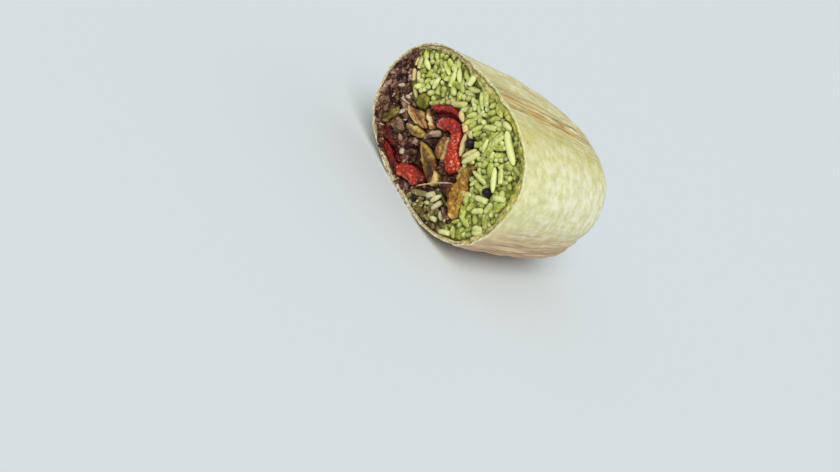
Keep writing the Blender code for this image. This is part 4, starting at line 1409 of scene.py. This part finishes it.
def mash_finish(name, roughness, lift):
    material, tree, shader, where = start_finish(name, roughness, Specular_IOR_Level=0.18)
    cloud = speckle(tree, where, 170, 4, 0.6)
    crumb = speckle(tree, where, 640, 4, 0.65)
    base = blend(tree, limits(tree, crumb, 0.42, 0.62), show(48 + lift, 18 + lift, 8 + lift),
                 show(126 + lift, 88 + lift, 58 + lift))
    base = blend(tree, limits(tree, cloud, 0.48, 0.60, 0, 0.7), base,
                 show(116 + lift, 84 + lift, 74 + lift))
    base = blend(tree, limits(tree, crumb, 0.62, 0.72, 0, 0.8), base, show(184, 152, 112))
    # painted shade: near-black patches stand in for the shade in the hollows between crumbs
    base = blend(tree, limits(tree, cloud, 0.36, 0.47, 0.85, 0), base, show(36, 8, 4))
    base = blend(tree, times(tree, read(tree, "wine"), 0.8), base,
                 blend(tree, limits(tree, crumb, 0.40, 0.62), show(58, 4, 8),
                       show(134, 26, 32)))
    colour_from(tree, shader, base)
    relief(tree, shader, crumb, 0.6, 1.0)
    return material, tree, shader, base


mash_coat, _, _, _ = mash_finish("bean_mash", 0.62, 0)
crumb_share = np.zeros(len(mash_places))
clear_of = off_strips(mash_places[:mash_fronts, 0], mash_places[:mash_fronts, 2])
crumb_share[:mash_fronts] = ease(clear_of, 0.4, 1.6)
for hx, hz, wide, _ in HOLLOWS[:6]:
    crumb_share[:mash_fronts] *= 1 - 0.8 * bell(np.hypot(
        mash_places[:mash_fronts, 0] - hx, mash_places[:mash_fronts, 2] - hz), wide)
mash = make_piece("bean_mash_body", mash_places, mash_faces, mash_coat,
                  {"crumb_share": crumb_share,
                   "wine": wine_at(mash_places[:, 0], mash_places[:, 2])})
stand_for(mash, "bean_mash", "bean_mash")


# %% Loose crumbs
def crumb_shape(name, seed, steps=6):
    """A broken lump about 1 across, with a few dozen faces."""
    lump = bmesh.new()
    bmesh.ops.create_icosphere(lump, subdivisions=2, radius=0.5)
    for vertex in lump.verts:
        push = (1 + 0.55 * noise.noise(vertex.co * 3.1 + Vector((seed, 0, 0)))
                + 0.25 * noise.noise(vertex.co * 7.0 + Vector((0, seed, 0))))
        vertex.co = Vector((vertex.co.x * 1.35, vertex.co.y * 0.7, vertex.co.z * 0.9)) * push
    mesh = bpy.data.meshes.new(name)
    lump.to_mesh(mesh)
    lump.free()
    mesh.shade_smooth()
    thing = bpy.data.objects.new(name, mesh)
    scene.collection.objects.link(thing)
    return thing


crumb_tree, crumb_in, crumb_out = new_tree("crumbs", [
    (label, "Object") for label in KIND_LABELS[:3]] + [
    ("Crumbs for each square metre", "Float"), ("Smallest", "Float"), ("Largest", "Float"),
    ("Seed", "Int"), ("Finish", "Material")])
amount = step(crumb_tree, "ShaderNodeMath", {
    0: crumb_in.outputs["Crumbs for each square metre"],
    1: stored(crumb_tree, "crumb_share", "FLOAT")}, operation="MULTIPLY")
scattered = step(crumb_tree, "GeometryNodeDistributePointsOnFaces", {
    "Mesh": crumb_in.outputs["Geometry"], "Density": amount.outputs[0],
    "Seed": crumb_in.outputs["Seed"]})
any_turn = step(crumb_tree, "FunctionNodeRandomValue", {
    "Min": (0, 0, 0), "Max": (6.28, 6.28, 6.28), "Seed": 3}, data_type="FLOAT_VECTOR")
any_size = step(crumb_tree, "FunctionNodeRandomValue", {
    2: crumb_in.outputs["Smallest"], 3: crumb_in.outputs["Largest"], "Seed": 5},
    data_type="FLOAT")
any_kind = step(crumb_tree, "FunctionNodeRandomValue", {4: 0, 5: 2, "Seed": 7},
                data_type="INT")
any_tone = step(crumb_tree, "FunctionNodeRandomValue", {2: 0.0, 3: 1.0, "Seed": 9},
                data_type="FLOAT")
crumbs_on = step(crumb_tree, "GeometryNodeInstanceOnPoints", {
    "Points": scattered.outputs["Points"],
    "Instance": kinds_to_pick(crumb_tree, crumb_in, KIND_LABELS[:3]), "Pick Instance": True,
    "Instance Index": any_kind.outputs[2], "Rotation": any_turn.outputs[0],
    "Scale": any_size.outputs[1]})
toned = step(crumb_tree, "GeometryNodeStoreNamedAttribute", {
    "Geometry": crumbs_on.outputs[0], "Name": "tone", "Value": any_tone.outputs[1]},
    data_type="FLOAT", domain="INSTANCE")
crumbs_plain = step(crumb_tree, "GeometryNodeRealizeInstances",
                    {"Geometry": toned.outputs[0]})
crumbs_coated = step(crumb_tree, "GeometryNodeSetMaterial", {
    "Geometry": crumbs_plain.outputs[0], "Material": crumb_in.outputs["Finish"]})
crumb_tree.links.new(crumbs_coated.outputs[0], crumb_out.inputs["Geometry"])

crumb_coat, crumb_nodes, crumb_shader, crumb_base = mash_finish("bean_crumb", 0.66, 10)
tone = read(crumb_nodes, "tone")
tinted = blend(crumb_nodes, limits(crumb_nodes, tone, 0.22, 0.30, 0.85, 0), crumb_base,
               show(40, 10, 6))
tinted = blend(crumb_nodes, limits(crumb_nodes, tone, 0.50, 0.62, 0, 0.8), tinted,
               show(138, 106, 90))
tinted = blend(crumb_nodes, limits(crumb_nodes, tone, 0.78, 0.84, 0, 0.85), tinted,
               show(180, 146, 126))
tinted = blend(crumb_nodes, limits(crumb_nodes, tone, 0.93, 0.95, 0, 0.85), tinted,
               show(214, 196, 170))
tinted = blend(crumb_nodes, times(crumb_nodes, read(crumb_nodes, "wine"), 0.75), tinted,
               show(104, 22, 24))
colour_from(crumb_nodes, crumb_shader, tinted)
crumb_kinds = [crumb_shape(name, seed) for name, seed in
               (("crumb_one", 1.3), ("crumb_two", 4.7), ("crumb_three", 9.1))]
def keep_in(mesh):
    """No crumb may pass the wall or the floor: points that do are pulled back in."""
    spots = np.empty(len(mesh.vertices) * 3)
    mesh.vertices.foreach_get("co", spots)
    spots = (spots.reshape(-1, 3) - FACE) / MM
    reach_now = np.hypot(spots[:, 0], spots[:, 2])
    wall = np.hypot(*inner_edge(np.arctan2(spots[:, 2], spots[:, 0])).T) + 0.2
    pulled = np.minimum(1, wall / np.maximum(reach_now, 1e-6))
    spots[:, 0] *= pulled
    spots[:, 2] *= pulled
    spots[:, 1] = np.maximum(spots[:, 1], -0.5)
    spots[:, 2] = np.maximum(spots[:, 2], 0.9 - REST_HEIGHT)
    mesh.vertices.foreach_set("co", (spots * MM + FACE).ravel())
    spread = mesh.attributes.get("wine") or mesh.attributes.new("wine", "FLOAT", "POINT")
    spread.data.foreach_set("value", wine_at(spots[:, 0], spots[:, 2]).astype(np.float32))


crumb_layers = []
for each_metre, smallest, largest, seed in ((170000.0, 1.0, 3.2, 4), (420000.0, 0.4, 1.5, 8)):
    crumb_layers.append(run_tree(crumb_tree, mash, {
        "First kind": crumb_kinds[0], "Second kind": crumb_kinds[1],
        "Third kind": crumb_kinds[2], "Crumbs for each square metre": each_metre,
        "Smallest": smallest * MM, "Largest": largest * MM, "Seed": seed,
        "Finish": crumb_coat}))
for spare in crumb_kinds:
    bpy.data.objects.remove(spare, do_unlink=True)
for name, mesh in zip(("bean_fragments", "bean_crumbs"), crumb_layers):
    keep_in(mesh)
    crumbs = bpy.data.objects.new(name, mesh)
    scene.collection.objects.link(crumbs)
    stand_for(crumbs, "bean_mash")

# %% [markdown]
# ## Peppers and onions
# Roasted and soft, the strips are wet and translucent. Their skins are smooth and their cut
# flesh is grainy. Each front has its own relief: the curl of red pepper is a rolled strip, so
# it has an arched skin, a deep hollow, a smooth tongue and a grainy tail, while an onion is a
# curved leaf with long fibres and a bright lip. Their colours carry painted light: hollows,
# crevices and hidden sides are darkened as painted shade, and the bright lines are painted
# highlights, partly pale edges.


# %% Along and across a strip
def path_places(path, x, z):
    """How far along a path each point lies, and how far to its left, in millimetres."""
    path = smooth_outline(path, 0.5, closed=False)
    best = np.full(len(x), 1e9)
    along, across = np.zeros(len(x)), np.zeros(len(x))
    run = 0.0
    for start, end in zip(path[:-1], path[1:]):
        way = end - start
        size_of = max(float(np.hypot(*way)), 1e-9)
        off = np.stack([x, z], -1) - start
        t = np.clip(off @ way / size_of ** 2, 0, 1)
        gap = off - t[:, None] * way
        reach_now = np.hypot(*gap.T)
        closer = reach_now < best
        best = np.where(closer, reach_now, best)
        along = np.where(closer, run + t * size_of, along)
        sign = np.sign(way[0] * gap[:, 1] - way[1] * gap[:, 0])
        across = np.where(closer, sign * reach_now, across)
        run += size_of
    return along, across


# %% The relief of the curl of red pepper
CURL_FLAP = [(-15.3, 2.6), (-14.4, 4.9), (-11.8, 7.2), (-8.2, 9.6), (-4.6, 10), (-2.6, 9),
             (-6.2, 8.2), (-9.4, 6.3), (-12, 4.3), (-14.2, 2.6)]
CURL_RIBBON = [(-6.4, 1.9), (-4.9, 3.7), (-1.8, 5.2), (1.6, 5.0), (4.2, 2.9), (6.6, -0.4),
               (9, -3.6), (11.6, -4.7), (13.4, -4.2)]
# the tongue's lip: a ridge in the relief, whose pale line is a painted highlight
CURL_LIP = [(-8, 3.4), (-8.3, 1.5), (-6.4, 0.1), (-2.8, 0.9), (0.6, 2.8)]


def curl_front(x, z, edge):
    """A lit flap, a dark hollow, and a ribbon that is smooth on the left, grainy on the right."""
    flap = depth_inside(smooth_outline(CURL_FLAP, 0.5), x, z)
    along, across = path_places(CURL_RIBBON, x, z)
    half_width = 2.2 - 0.2 * bell(along - 10.5, 3) + 1.2 * ease(along, 12, 19)
    fleshy = ease(along, 7, 12)
    grains_in = 0.75 * rough(x, z, 1.0, 101) + 0.5 * rough(x, z, 0.6, 102)
    flap_depth = 0.3 + 0.10 * (x + 15) + 0.4 * rough(x, z, 3, 105) + 2.4 * np.maximum(-flap, 0)
    smooth_depth = 0.2 + 0.30 * np.maximum(across + 2.3, 0) + 0.5 * rough(x, z, 2.4, 103)
    fleshy_depth = -0.2 + 0.14 * across ** 2 + grains_in
    ribbon = smooth_depth * (1 - fleshy) + fleshy_depth * fleshy
    ribbon = ribbon + 3.0 * np.maximum(abs(across) - half_width, 0)
    ribbon = ribbon - 0.5 * bell(path_distance(CURL_LIP, x, z), 0.5)
    depth = np.minimum(np.minimum(flap_depth, ribbon), 3.6 + 0.5 * rough(x, z, 2, 104))
    return depth + 0.5 * bell(edge, 0.4) * (depth < 3)


# %% The relief of the other strips
def pulpy(front, coarse, fine, round_off=0.8, slant=(0, 0), seed=0):
    """A soft cut with a grainy surface and rounded edges."""
    def depth_of(x, z, edge):
        depth = front + coarse * rough(x, z, 2.6, 111 + seed) + fine * rough(x, z, 0.9, 112 + seed)
        depth = depth + slant[0] * (x - x.mean()) + slant[1] * (z - z.mean())
        return depth + round_off * (1 - np.sqrt(1 - (1 - np.clip(edge / round_off, 0, 1)) ** 2))
    return depth_of


def leafy(front, path, bow, slant=(0, 0), seed=0):
    """A leaf of onion: a curved sheet whose fibres run along its path."""
    def depth_of(x, z, edge):
        along, across = path_places(path, x, z)
        depth = front + bow * across + 0.07 * across ** 2
        depth = depth + 0.13 * np.sin(across * 7.5 + 2.2 * rough(x, z, 3.0, 121 + seed))
        depth = depth + 0.9 * rough(x, z, 2.4, 122 + seed) + 0.3 * rough(x, z, 0.9, 123 + seed)
        depth = depth + slant[0] * (x - x.mean()) + slant[1] * (z - z.mean())
        return depth + 0.5 * (1 - np.sqrt(1 - (1 - np.clip(edge / 0.4, 0, 1)) ** 2))
    return depth_of


# %% What each strip is like
# Fibre path, bright lines (painted highlights, partly pale edges) and dark lines (painted shade,
# partly dark marks) are lines across the cut, in millimetres.
LOOKS = {
    "pepper_curl": dict(
        nodes=("red_pepper_curl", "red_pepper_fold"), finish="red_pepper", length=58,
        front=curl_front, fibres=CURL_RIBBON, bright=[CURL_LIP], dark=[]),
    "pepper_low": dict(
        nodes=("red_pepper_lower",), finish="red_pepper", length=62,
        front=pulpy(0.3, 1.1, 0.5, 0.9, (-0.05, 0.05), 1),
        fibres=[(-8.6, -24.6), (-3, -21.8), (2.2, -20.2), (6, -18.6)],
        bright=[[(-5, -25.6), (-1, -24.2), (3.4, -23.3)]],
        dark=[[(-0.4, -17.6), (3.4, -16.9), (6.6, -17.6), (6.2, -20)], [(-9, -25.4), (-9, -23)]]),
    "pepper_edge": dict(
        nodes=("red_pepper_edge",), finish="red_pepper", length=34,
        front=pulpy(1.5, 0.8, 0.3, 0.7, (0.02, 0), 2),
        fibres=[(-24, -23.4), (-17, -25), (-9.6, -26)], bright=[],
        dark=[[(-19, -23.4), (-14, -24.4), (-9.6, -25.4)], [(-24, -23), (-22, -23)],
              [(-17, -26), (-12, -26.8), (-9.6, -26.2)], [(-15, -25.2), (-10, -25.8)]]),
    "ochre_pepper": dict(
        nodes=("yellow_pepper",), finish="yellow_pepper", length=66,
        front=pulpy(0.6, 1.6, 0.8, 0.8, (-0.02, 0.02), 3),
        fibres=[(18.6, 2), (19.6, -4), (23.4, -9.6), (29, -15.6)],
        bright=[[(16.4, -3.6), (17.6, -6.6)], [(27.4, -16), (29.4, -15)]],
        dark=[[(16.4, -5.4), (17, -6)], [(15.8, -11.6), (19.4, -13), (24, -15.8)],
              [(17.4, 0.8), (18.8, 2.6), (20.6, 1), (21, -0.6)]]),
    "olive_pepper": dict(
        nodes=("green_pepper",), finish="green_pepper", length=40,
        front=pulpy(0.9, 0.8, 0.25, 1.0, (0.08, -0.1), 4),
        fibres=[(-24.6, 0), (-18.6, 0.4)], bright=[], dark=[[(-20.4, 0.2), (-19, -1.4)]]),
    "onion_long": dict(
        nodes=("onion_long",), finish="onion_brown", length=52,
        front=leafy(0.9, [(-7.8, -10.2), (-1.6, -11.4), (4, -13.2), (8.8, -17)], 0.10,
                    (0.03, 0.06), 1),
        fibres=[(-7.8, -10.2), (-1.6, -11.4), (4, -13.2), (8.8, -17)],
        bright=[[(-7.4, -9.9), (-4.6, -11.6), (-1, -14)], [(-7, -9.6), (-3.6, -9.2), (1.4, -9.4)]],
        dark=[[(2, -12), (5, -13.6), (7.4, -15.8)]]),
    "onion_small": dict(
        nodes=("onion_small",), finish="onion_gold", length=30,
        front=leafy(0.6, [(7.4, -12.2), (9.8, -14), (10.2, -16.8)], 0.0, (0, 0.04), 5),
        fibres=[(7.4, -12.2), (9.8, -14), (10.2, -16.8)],
        bright=[[(8.8, -12.3), (10.8, -13.8), (10.9, -16)]], dark=[]),
    "onion_centre": dict(
        nodes=("onion_centre",), finish="onion_amber", length=44,
        front=leafy(1.0, [(1.2, 0.8), (1, -3), (3.6, -7.4)], 0.12, (-0.05, -0.04), 2),
        fibres=[(1.2, 0.8), (1, -3), (3.6, -7.4)],
        bright=[[(0.4, 1), (1.8, 0.6), (3.6, -2.4)], [(4, -4), (5.6, -6.2)]],
        dark=[[(-1.6, -2.6), (-1.6, -5.6), (0.4, -7.4)]]),
    "onion_slanted": dict(
        nodes=("onion_slanted",), finish="bean_lump", length=38,
        front=leafy(1.0, [(-4.2, -1), (-6.4, -4.2), (-8.2, -7.8)], 0.0, (0.04, 0.04), 6),
        fibres=[(-4.2, -1), (-6.4, -4.2), (-8.2, -7.8)],
        bright=[[(-4.6, -1.2), (-7.2, -4.2)]], dark=[]),
    "onion_left": dict(
        nodes=("onion_left",), finish="onion_tan", length=48,
        front=leafy(0.8, [(-25.6, -5.8), (-20.6, -6.4), (-16, -6), (-11, -4.8)], -0.22,
                    (0.03, -0.04), 3),
        fibres=[(-25.6, -5.8), (-20.6, -6.4), (-16, -6), (-11, -4.8)],
        bright=[[(-25.6, -6.1), (-22.8, -7.5), (-19.4, -8.1), (-16.4, -7.4)]],
        dark=[[(-17.4, -4.2), (-15.8, -4.6)], [(-21, -4.6), (-19, -3.4)]]),
    "onion_yellow": dict(
        nodes=("onion_yellow",), finish="onion_gold", length=46,
        front=leafy(0.7, [(-19, -10.4), (-14.8, -9.8), (-9.6, -7.6)], 0.10, (-0.02, 0.05), 4),
        fibres=[(-19, -10.4), (-14.8, -9.8), (-9.6, -7.6)],
        bright=[[(-19, -10.2), (-16.4, -9.4), (-13.8, -8.2)]],
        dark=[[(-17, -10.8), (-13.4, -10), (-10.4, -8.4)]]),
    "onion_corner": dict(
        nodes=("onion_corner",), finish="onion_olive", length=42,
        front=pulpy(1.2, 1.2, 0.4, 0.8, (0.05, 0.03), 7),
        fibres=[(-29.4, -10.8), (-29.8, -14.6), (-31.8, -19)], bright=[],
        dark=[[(-30.6, -16), (-31.8, -19.2)]]),
    "bean_lump_left": dict(
        nodes=("bean_lump_left",), finish="bean_lump", length=12,
        front=pulpy(0.4, 1.8, 0.9, 1.2, (0, 0.02), 8),
        fibres=[(-25.6, -15.4), (-20.6, -13.6)], bright=[], dark=[[(-23, -15), (-21.4, -16.4)]]),
    "bean_lump_middle": dict(
        nodes=("bean_lump_middle",), finish="onion_tan", length=10,
        front=pulpy(0.7, 1.0, 0.5, 0.8, (0, -0.05), 9),
        fibres=[(-15.2, -1), (-8.6, -2.8)], bright=[[(-14.6, -1), (-10, -2)]], dark=[]),
}
SLOTS = {"red_pepper": "red_pepper", "yellow_pepper": "yellow_pepper",
         "green_pepper": "green_pepper", "onion_brown": "onion", "onion_amber": "onion", "onion_olive": "onion",
         "onion_tan": "onion",
         "onion_gold": "onion", "bean_lump": "bean_lump"}


# %% Finishes of the strips
def wet_finish(name, deep, middle_tone, bright, edge_tone, roughness=0.34, flesh_light_and_shade=None,
               hollow=None):
    """Soft wet vegetable: fibre streaks, edges and marks with painted highlights and shade."""
    material, tree, shader, where = start_finish(name, roughness, Subsurface_Weight=0.08,
                                                 Subsurface_Scale=0.001,
                                                 Specular_IOR_Level=0.35)
    shader.inputs["Subsurface Radius"].default_value = (1.0, 0.5, 0.25)
    lie = add(tree, "CombineXYZ", {"X": read(tree, "fibre_along"),
                                   "Y": read(tree, "fibre_across"), "Z": 0.0}).outputs[0]
    cloud = speckle(tree, where, 300, 3, 0.55)
    grain = speckle(tree, where, 900, 3, 0.6)
    fibre = speckle(tree, lie, 1100, 2, 0.5, (0.14, 1, 1))
    base = blend(tree, limits(tree, fibre, 0.36, 0.60), show(*deep), show(*middle_tone))
    base = blend(tree, times(tree, limits(tree, cloud, 0.46, 0.64), 0.75), base, show(*bright))
    base = blend(tree, limits(tree, grain, 0.36, 0.46, 0.75, 0), base,
                 show(*[part * 0.6 for part in deep]))
    base = blend(tree, limits(tree, grain, 0.58, 0.66, 0, 0.5), base, show(*edge_tone))
    # flesh tones: grainy red flesh with pale painted glints; on the yellow pepper a dark brown painted shade
    if flesh_light_and_shade:
        flesh_light_and_shade_tone = blend(tree, limits(tree, grain, 0.40, 0.62), show(*flesh_light_and_shade[0]), show(*flesh_light_and_shade[1]))
        # painted glints: pale specks on the flesh
        flesh_light_and_shade_tone = blend(tree, limits(tree, grain, 0.56, 0.66, 0, 0.85), flesh_light_and_shade_tone, show(*flesh_light_and_shade[2]))
        base = blend(tree, read(tree, "flesh_light_and_shade"), base, flesh_light_and_shade_tone)
    # painted highlight along the bright lines, partly pale edges of lips and leaves
    base = blend(tree, times(tree, read(tree, "lip_and_highlight"), 0.8), base, show(*edge_tone))
    # painted shade and dark marks: hollows, crevices at the outline and hidden sides go dark
    base = blend(tree, read(tree, "shade_and_dark_marks"), base,
                 show(*(hollow or [part * 0.32 for part in deep])))
    colour_from(tree, shader, base)
    relief(tree, shader, times(tree, times(tree, grain, 0.8), fibre, "ADD"), 0.40, 0.8)
    return material


STRIP_FINISHES = {
    # red pepper: the last colour, near-black red, is the painted shade of hollows and crevices
    "red_pepper": wet_finish("red_pepper", (118, 10, 8), (160, 24, 14), (190, 52, 26),
                             (216, 120, 96), 0.30,
                             ((154, 22, 10), (216, 68, 32), (246, 172, 138)), (64, 7, 7)),
    # yellow pepper: its last colours, dark browns, are painted shade away from the lit band
    "yellow_pepper": wet_finish("yellow_pepper", (134, 82, 14), (186, 138, 44),
                                (216, 178, 84), (222, 192, 120), 0.36,
                                ((84, 34, 12), (128, 66, 26), (176, 108, 52))),
    "green_pepper": wet_finish("green_pepper", (98, 90, 6), (134, 130, 22), (158, 156, 50),
                               (150, 142, 50)),
    "onion_brown": wet_finish("onion_brown", (74, 30, 8), (118, 68, 24), (148, 104, 44),
                              (190, 166, 84)),
    "onion_olive": wet_finish("onion_olive", (88, 68, 12), (136, 112, 40), (162, 140, 62),
                              (186, 168, 92)),
    "onion_amber": wet_finish("onion_amber", (100, 52, 14), (158, 100, 38), (192, 144, 74),
                              (230, 200, 134)),
    "onion_tan": wet_finish("onion_tan", (158, 98, 38), (206, 150, 82), (228, 186, 116),
                            (250, 228, 172)),
    "onion_gold": wet_finish("onion_gold", (160, 112, 30), (204, 166, 66), (228, 198, 106),
                             (240, 220, 148)),
    "bean_lump": wet_finish("bean_lump", (92, 62, 44), (150, 114, 86), (190, 156, 122),
                            (214, 186, 150), 0.6),
}

# %% Make the strips
for number, (name, look) in enumerate(LOOKS.items()):
    spots, triangles, fronts, edge = filled(
        STRIP_OUTLINES[name], 0.40, look["front"],
        [2.5, 5, look["length"] * 0.5, look["length"]], 200 + number)
    x, depth, z = spots[:, 0], spots[:, 1], spots[:, 2]
    along, across = path_places(look["fibres"], x, z)
    side_share = (np.arange(len(spots)) >= fronts) * 1.0
    # the hidden sides of a strip get painted shade
    lip_and_highlight, shade_and_dark_marks = np.zeros(len(spots)), 0.7 * side_share
    # bright lines: painted highlights, partly pale edges
    for path in look["bright"]:
        lip_and_highlight = np.maximum(lip_and_highlight, bell(path_distance(path, x, z), 0.62) * (1 - side_share))
    # dark lines: painted shade, partly dark marks
    for path in look["dark"]:
        shade_and_dark_marks = np.maximum(shade_and_dark_marks, 0.75 * bell(path_distance(path, x, z), 1.1))
    # painted shade in the crevice round each outline
    shade_and_dark_marks[:fronts] = np.maximum(shade_and_dark_marks[:fronts], 0.25 * bell(edge, 0.35))
    flesh_light_and_shade = np.zeros(len(spots))
    if name == "pepper_curl":
        # the curl: its tail is grainy flesh with painted glints, and its deep hollow gets painted shade
        flesh_light_and_shade = ease(along, 9, 14)
        shade_and_dark_marks[:fronts] = np.maximum(0.5 * shade_and_dark_marks[:fronts], 0.95 * ease(depth[:fronts], 1.7, 2.9))
    elif name == "ochre_pepper":
        # painted shade: the yellow pepper goes dark brown away from its lit band, on the left and low
        lit = path_distance([(18.6, 1.6), (20.2, -3), (23.6, -7.6), (27.6, -13.4)], x, z)
        flesh_light_and_shade = 0.95 * ease(lit, 1.8, 3.0) * (x - 16 < -(z + 6) * 0.8)
        flesh_light_and_shade = flesh_light_and_shade * ease(-z, 3, 6)
    elif name == "pepper_low":
        # bright orange band on the lower red pepper: flesh with a painted highlight
        flesh_light_and_shade = 0.8 * bell(path_distance([(-6.6, -23.6), (-2, -21.6), (2.4, -20.8)], x, z), 2.0)
    strip = make_piece(name + "_strip", spots, triangles, STRIP_FINISHES[look["finish"]],
                       dict(lip_and_highlight=lip_and_highlight * (1 - shade_and_dark_marks), shade_and_dark_marks=shade_and_dark_marks, flesh_light_and_shade=flesh_light_and_shade,
                            fibre_along=along * MM, fibre_across=across * MM))
    stand_for(strip, SLOTS[look["finish"]], *look["nodes"])

# %% [markdown]
# ## Black beans and thin strands
# Three whole black beans show end on. Their skins are dark, smooth and a little wrinkled, with
# a sharp highlight. A thin pale strand hangs across the lower cut.

# %% Black beans


def bean_finish():
    material, tree, shader, where = start_finish("black_bean", 0.42,
                                                 Specular_IOR_Level=0.3)
    cloud = speckle(tree, where, 700, 3, 0.5)
    base = blend(tree, limits(tree, cloud, 0.35, 0.7), show(10, 6, 5), show(30, 20, 17))
    colour_from(tree, shader, base)
    relief(tree, shader, cloud, 0.3, 0.7)
    return material


bean_coat = bean_finish()
for name in BEANS:
    low, high = (np.array(corner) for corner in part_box(name))
    middle_of, halves = (low + high) / 2, (high - low) / 2
    bean = bmesh.new()
    bmesh.ops.create_icosphere(bean, subdivisions=4, radius=1)
    for vertex in bean.verts:
        across, along, up = vertex.co
        dent = 1 - 0.16 * math.exp(-((up - 0.9) / 0.35) ** 2 - (along / 0.5) ** 2)
        wrinkle = 1 + 0.05 * noise.noise(vertex.co * 3 + Vector((3, 0, 0)))
        bulge = 1 - 0.10 * along * along
        vertex.co = Vector(middle_of + halves * np.array(
            (across * bulge, along, up * dent * bulge)) * min(wrinkle, 1.03))
    bean_mesh = bpy.data.meshes.new(name + "_skin")
    bean.to_mesh(bean_mesh)
    bean.free()
    bean_mesh.materials.append(bean_coat)
    bean_mesh.shade_smooth()
    bean_piece = bpy.data.objects.new(name + "_skin", bean_mesh)
    scene.collection.objects.link(bean_piece)
    stand_for(bean_piece, "black_bean", name)

# %% Thin strands
STRANDS = {  # points (x, depth, z) and thickness, in millimetres
    "long_strand": ([(5.4, 0.9, -22.6), (7.2, -0.4, -20.2), (9.2, -0.7, -17.8),
                     (12.9, -0.6, -13.2), (15.8, -0.3, -10.2), (17.8, 0.8, -8.2)], 0.62),
    "left_strand": ([(-31.4, 0.8, -6.7), (-28.5, -0.1, -5.6), (-25.2, 0.9, -4.9)], 0.8),
    "low_strand": ([(-31.2, 0.9, -21.8), (-29.8, 0.0, -20.6), (-28.2, 0.9, -19.6)], 0.7),
}


def strand_mesh(points, thick, sides=8):
    """A thin tube through the points, closed at both ends and thinner there."""
    points = np.array(points, float)
    run = np.concatenate([[0], np.cumsum(np.linalg.norm(np.diff(points, axis=0), axis=1))])
    stops = np.linspace(0, run[-1], 40)
    line = np.stack([np.interp(stops, run, points[:, k]) for k in range(3)], -1)
    for _ in range(6):
        line[1:-1] = (line[:-2] + 2 * line[1:-1] + line[2:]) / 4
    ahead = np.gradient(line, axis=0)
    ahead /= np.linalg.norm(ahead, axis=1)[:, None]
    across = np.cross(ahead, (0, 1, 0))
    across /= np.linalg.norm(across, axis=1)[:, None]
    up = np.cross(across, ahead)
    ends = np.minimum(stops, run[-1] - stops)
    radius = thick / 2 * (0.25 + 0.75 * ease(ends, 0, 2.2)) * (1 + 0.2 * np.sin(stops * 2.3))
    rings = [line + (np.cos(a) * across + 0.7 * np.sin(a) * up) * radius[:, None]
             for a in np.linspace(0, 2 * math.pi, sides, endpoint=False)]
    spots = np.stack(rings, 1).reshape(-1, 3)
    faces = band_faces(len(line), sides)
    faces += [tuple(range(sides)), tuple(range(len(spots) - sides, len(spots)))]
    return spots, faces


strand_coat, strand_nodes, strand_shader, strand_where = start_finish(
    "pale_strand", 0.4, Subsurface_Weight=0.15, Subsurface_Scale=0.001)
strand_cloud = speckle(strand_nodes, strand_where, 500, 3, 0.5)
colour_from(strand_nodes, strand_shader, blend(
    strand_nodes, limits(strand_nodes, strand_cloud, 0.35, 0.65), show(170, 140, 112),
    show(218, 198, 168)))
relief(strand_nodes, strand_shader, strand_cloud, 0.1, 0.4)
for name, (points, thick) in STRANDS.items():
    spots, faces = strand_mesh(points, thick)
    stand_for(make_piece(name, spots, faces, strand_coat), "onion")
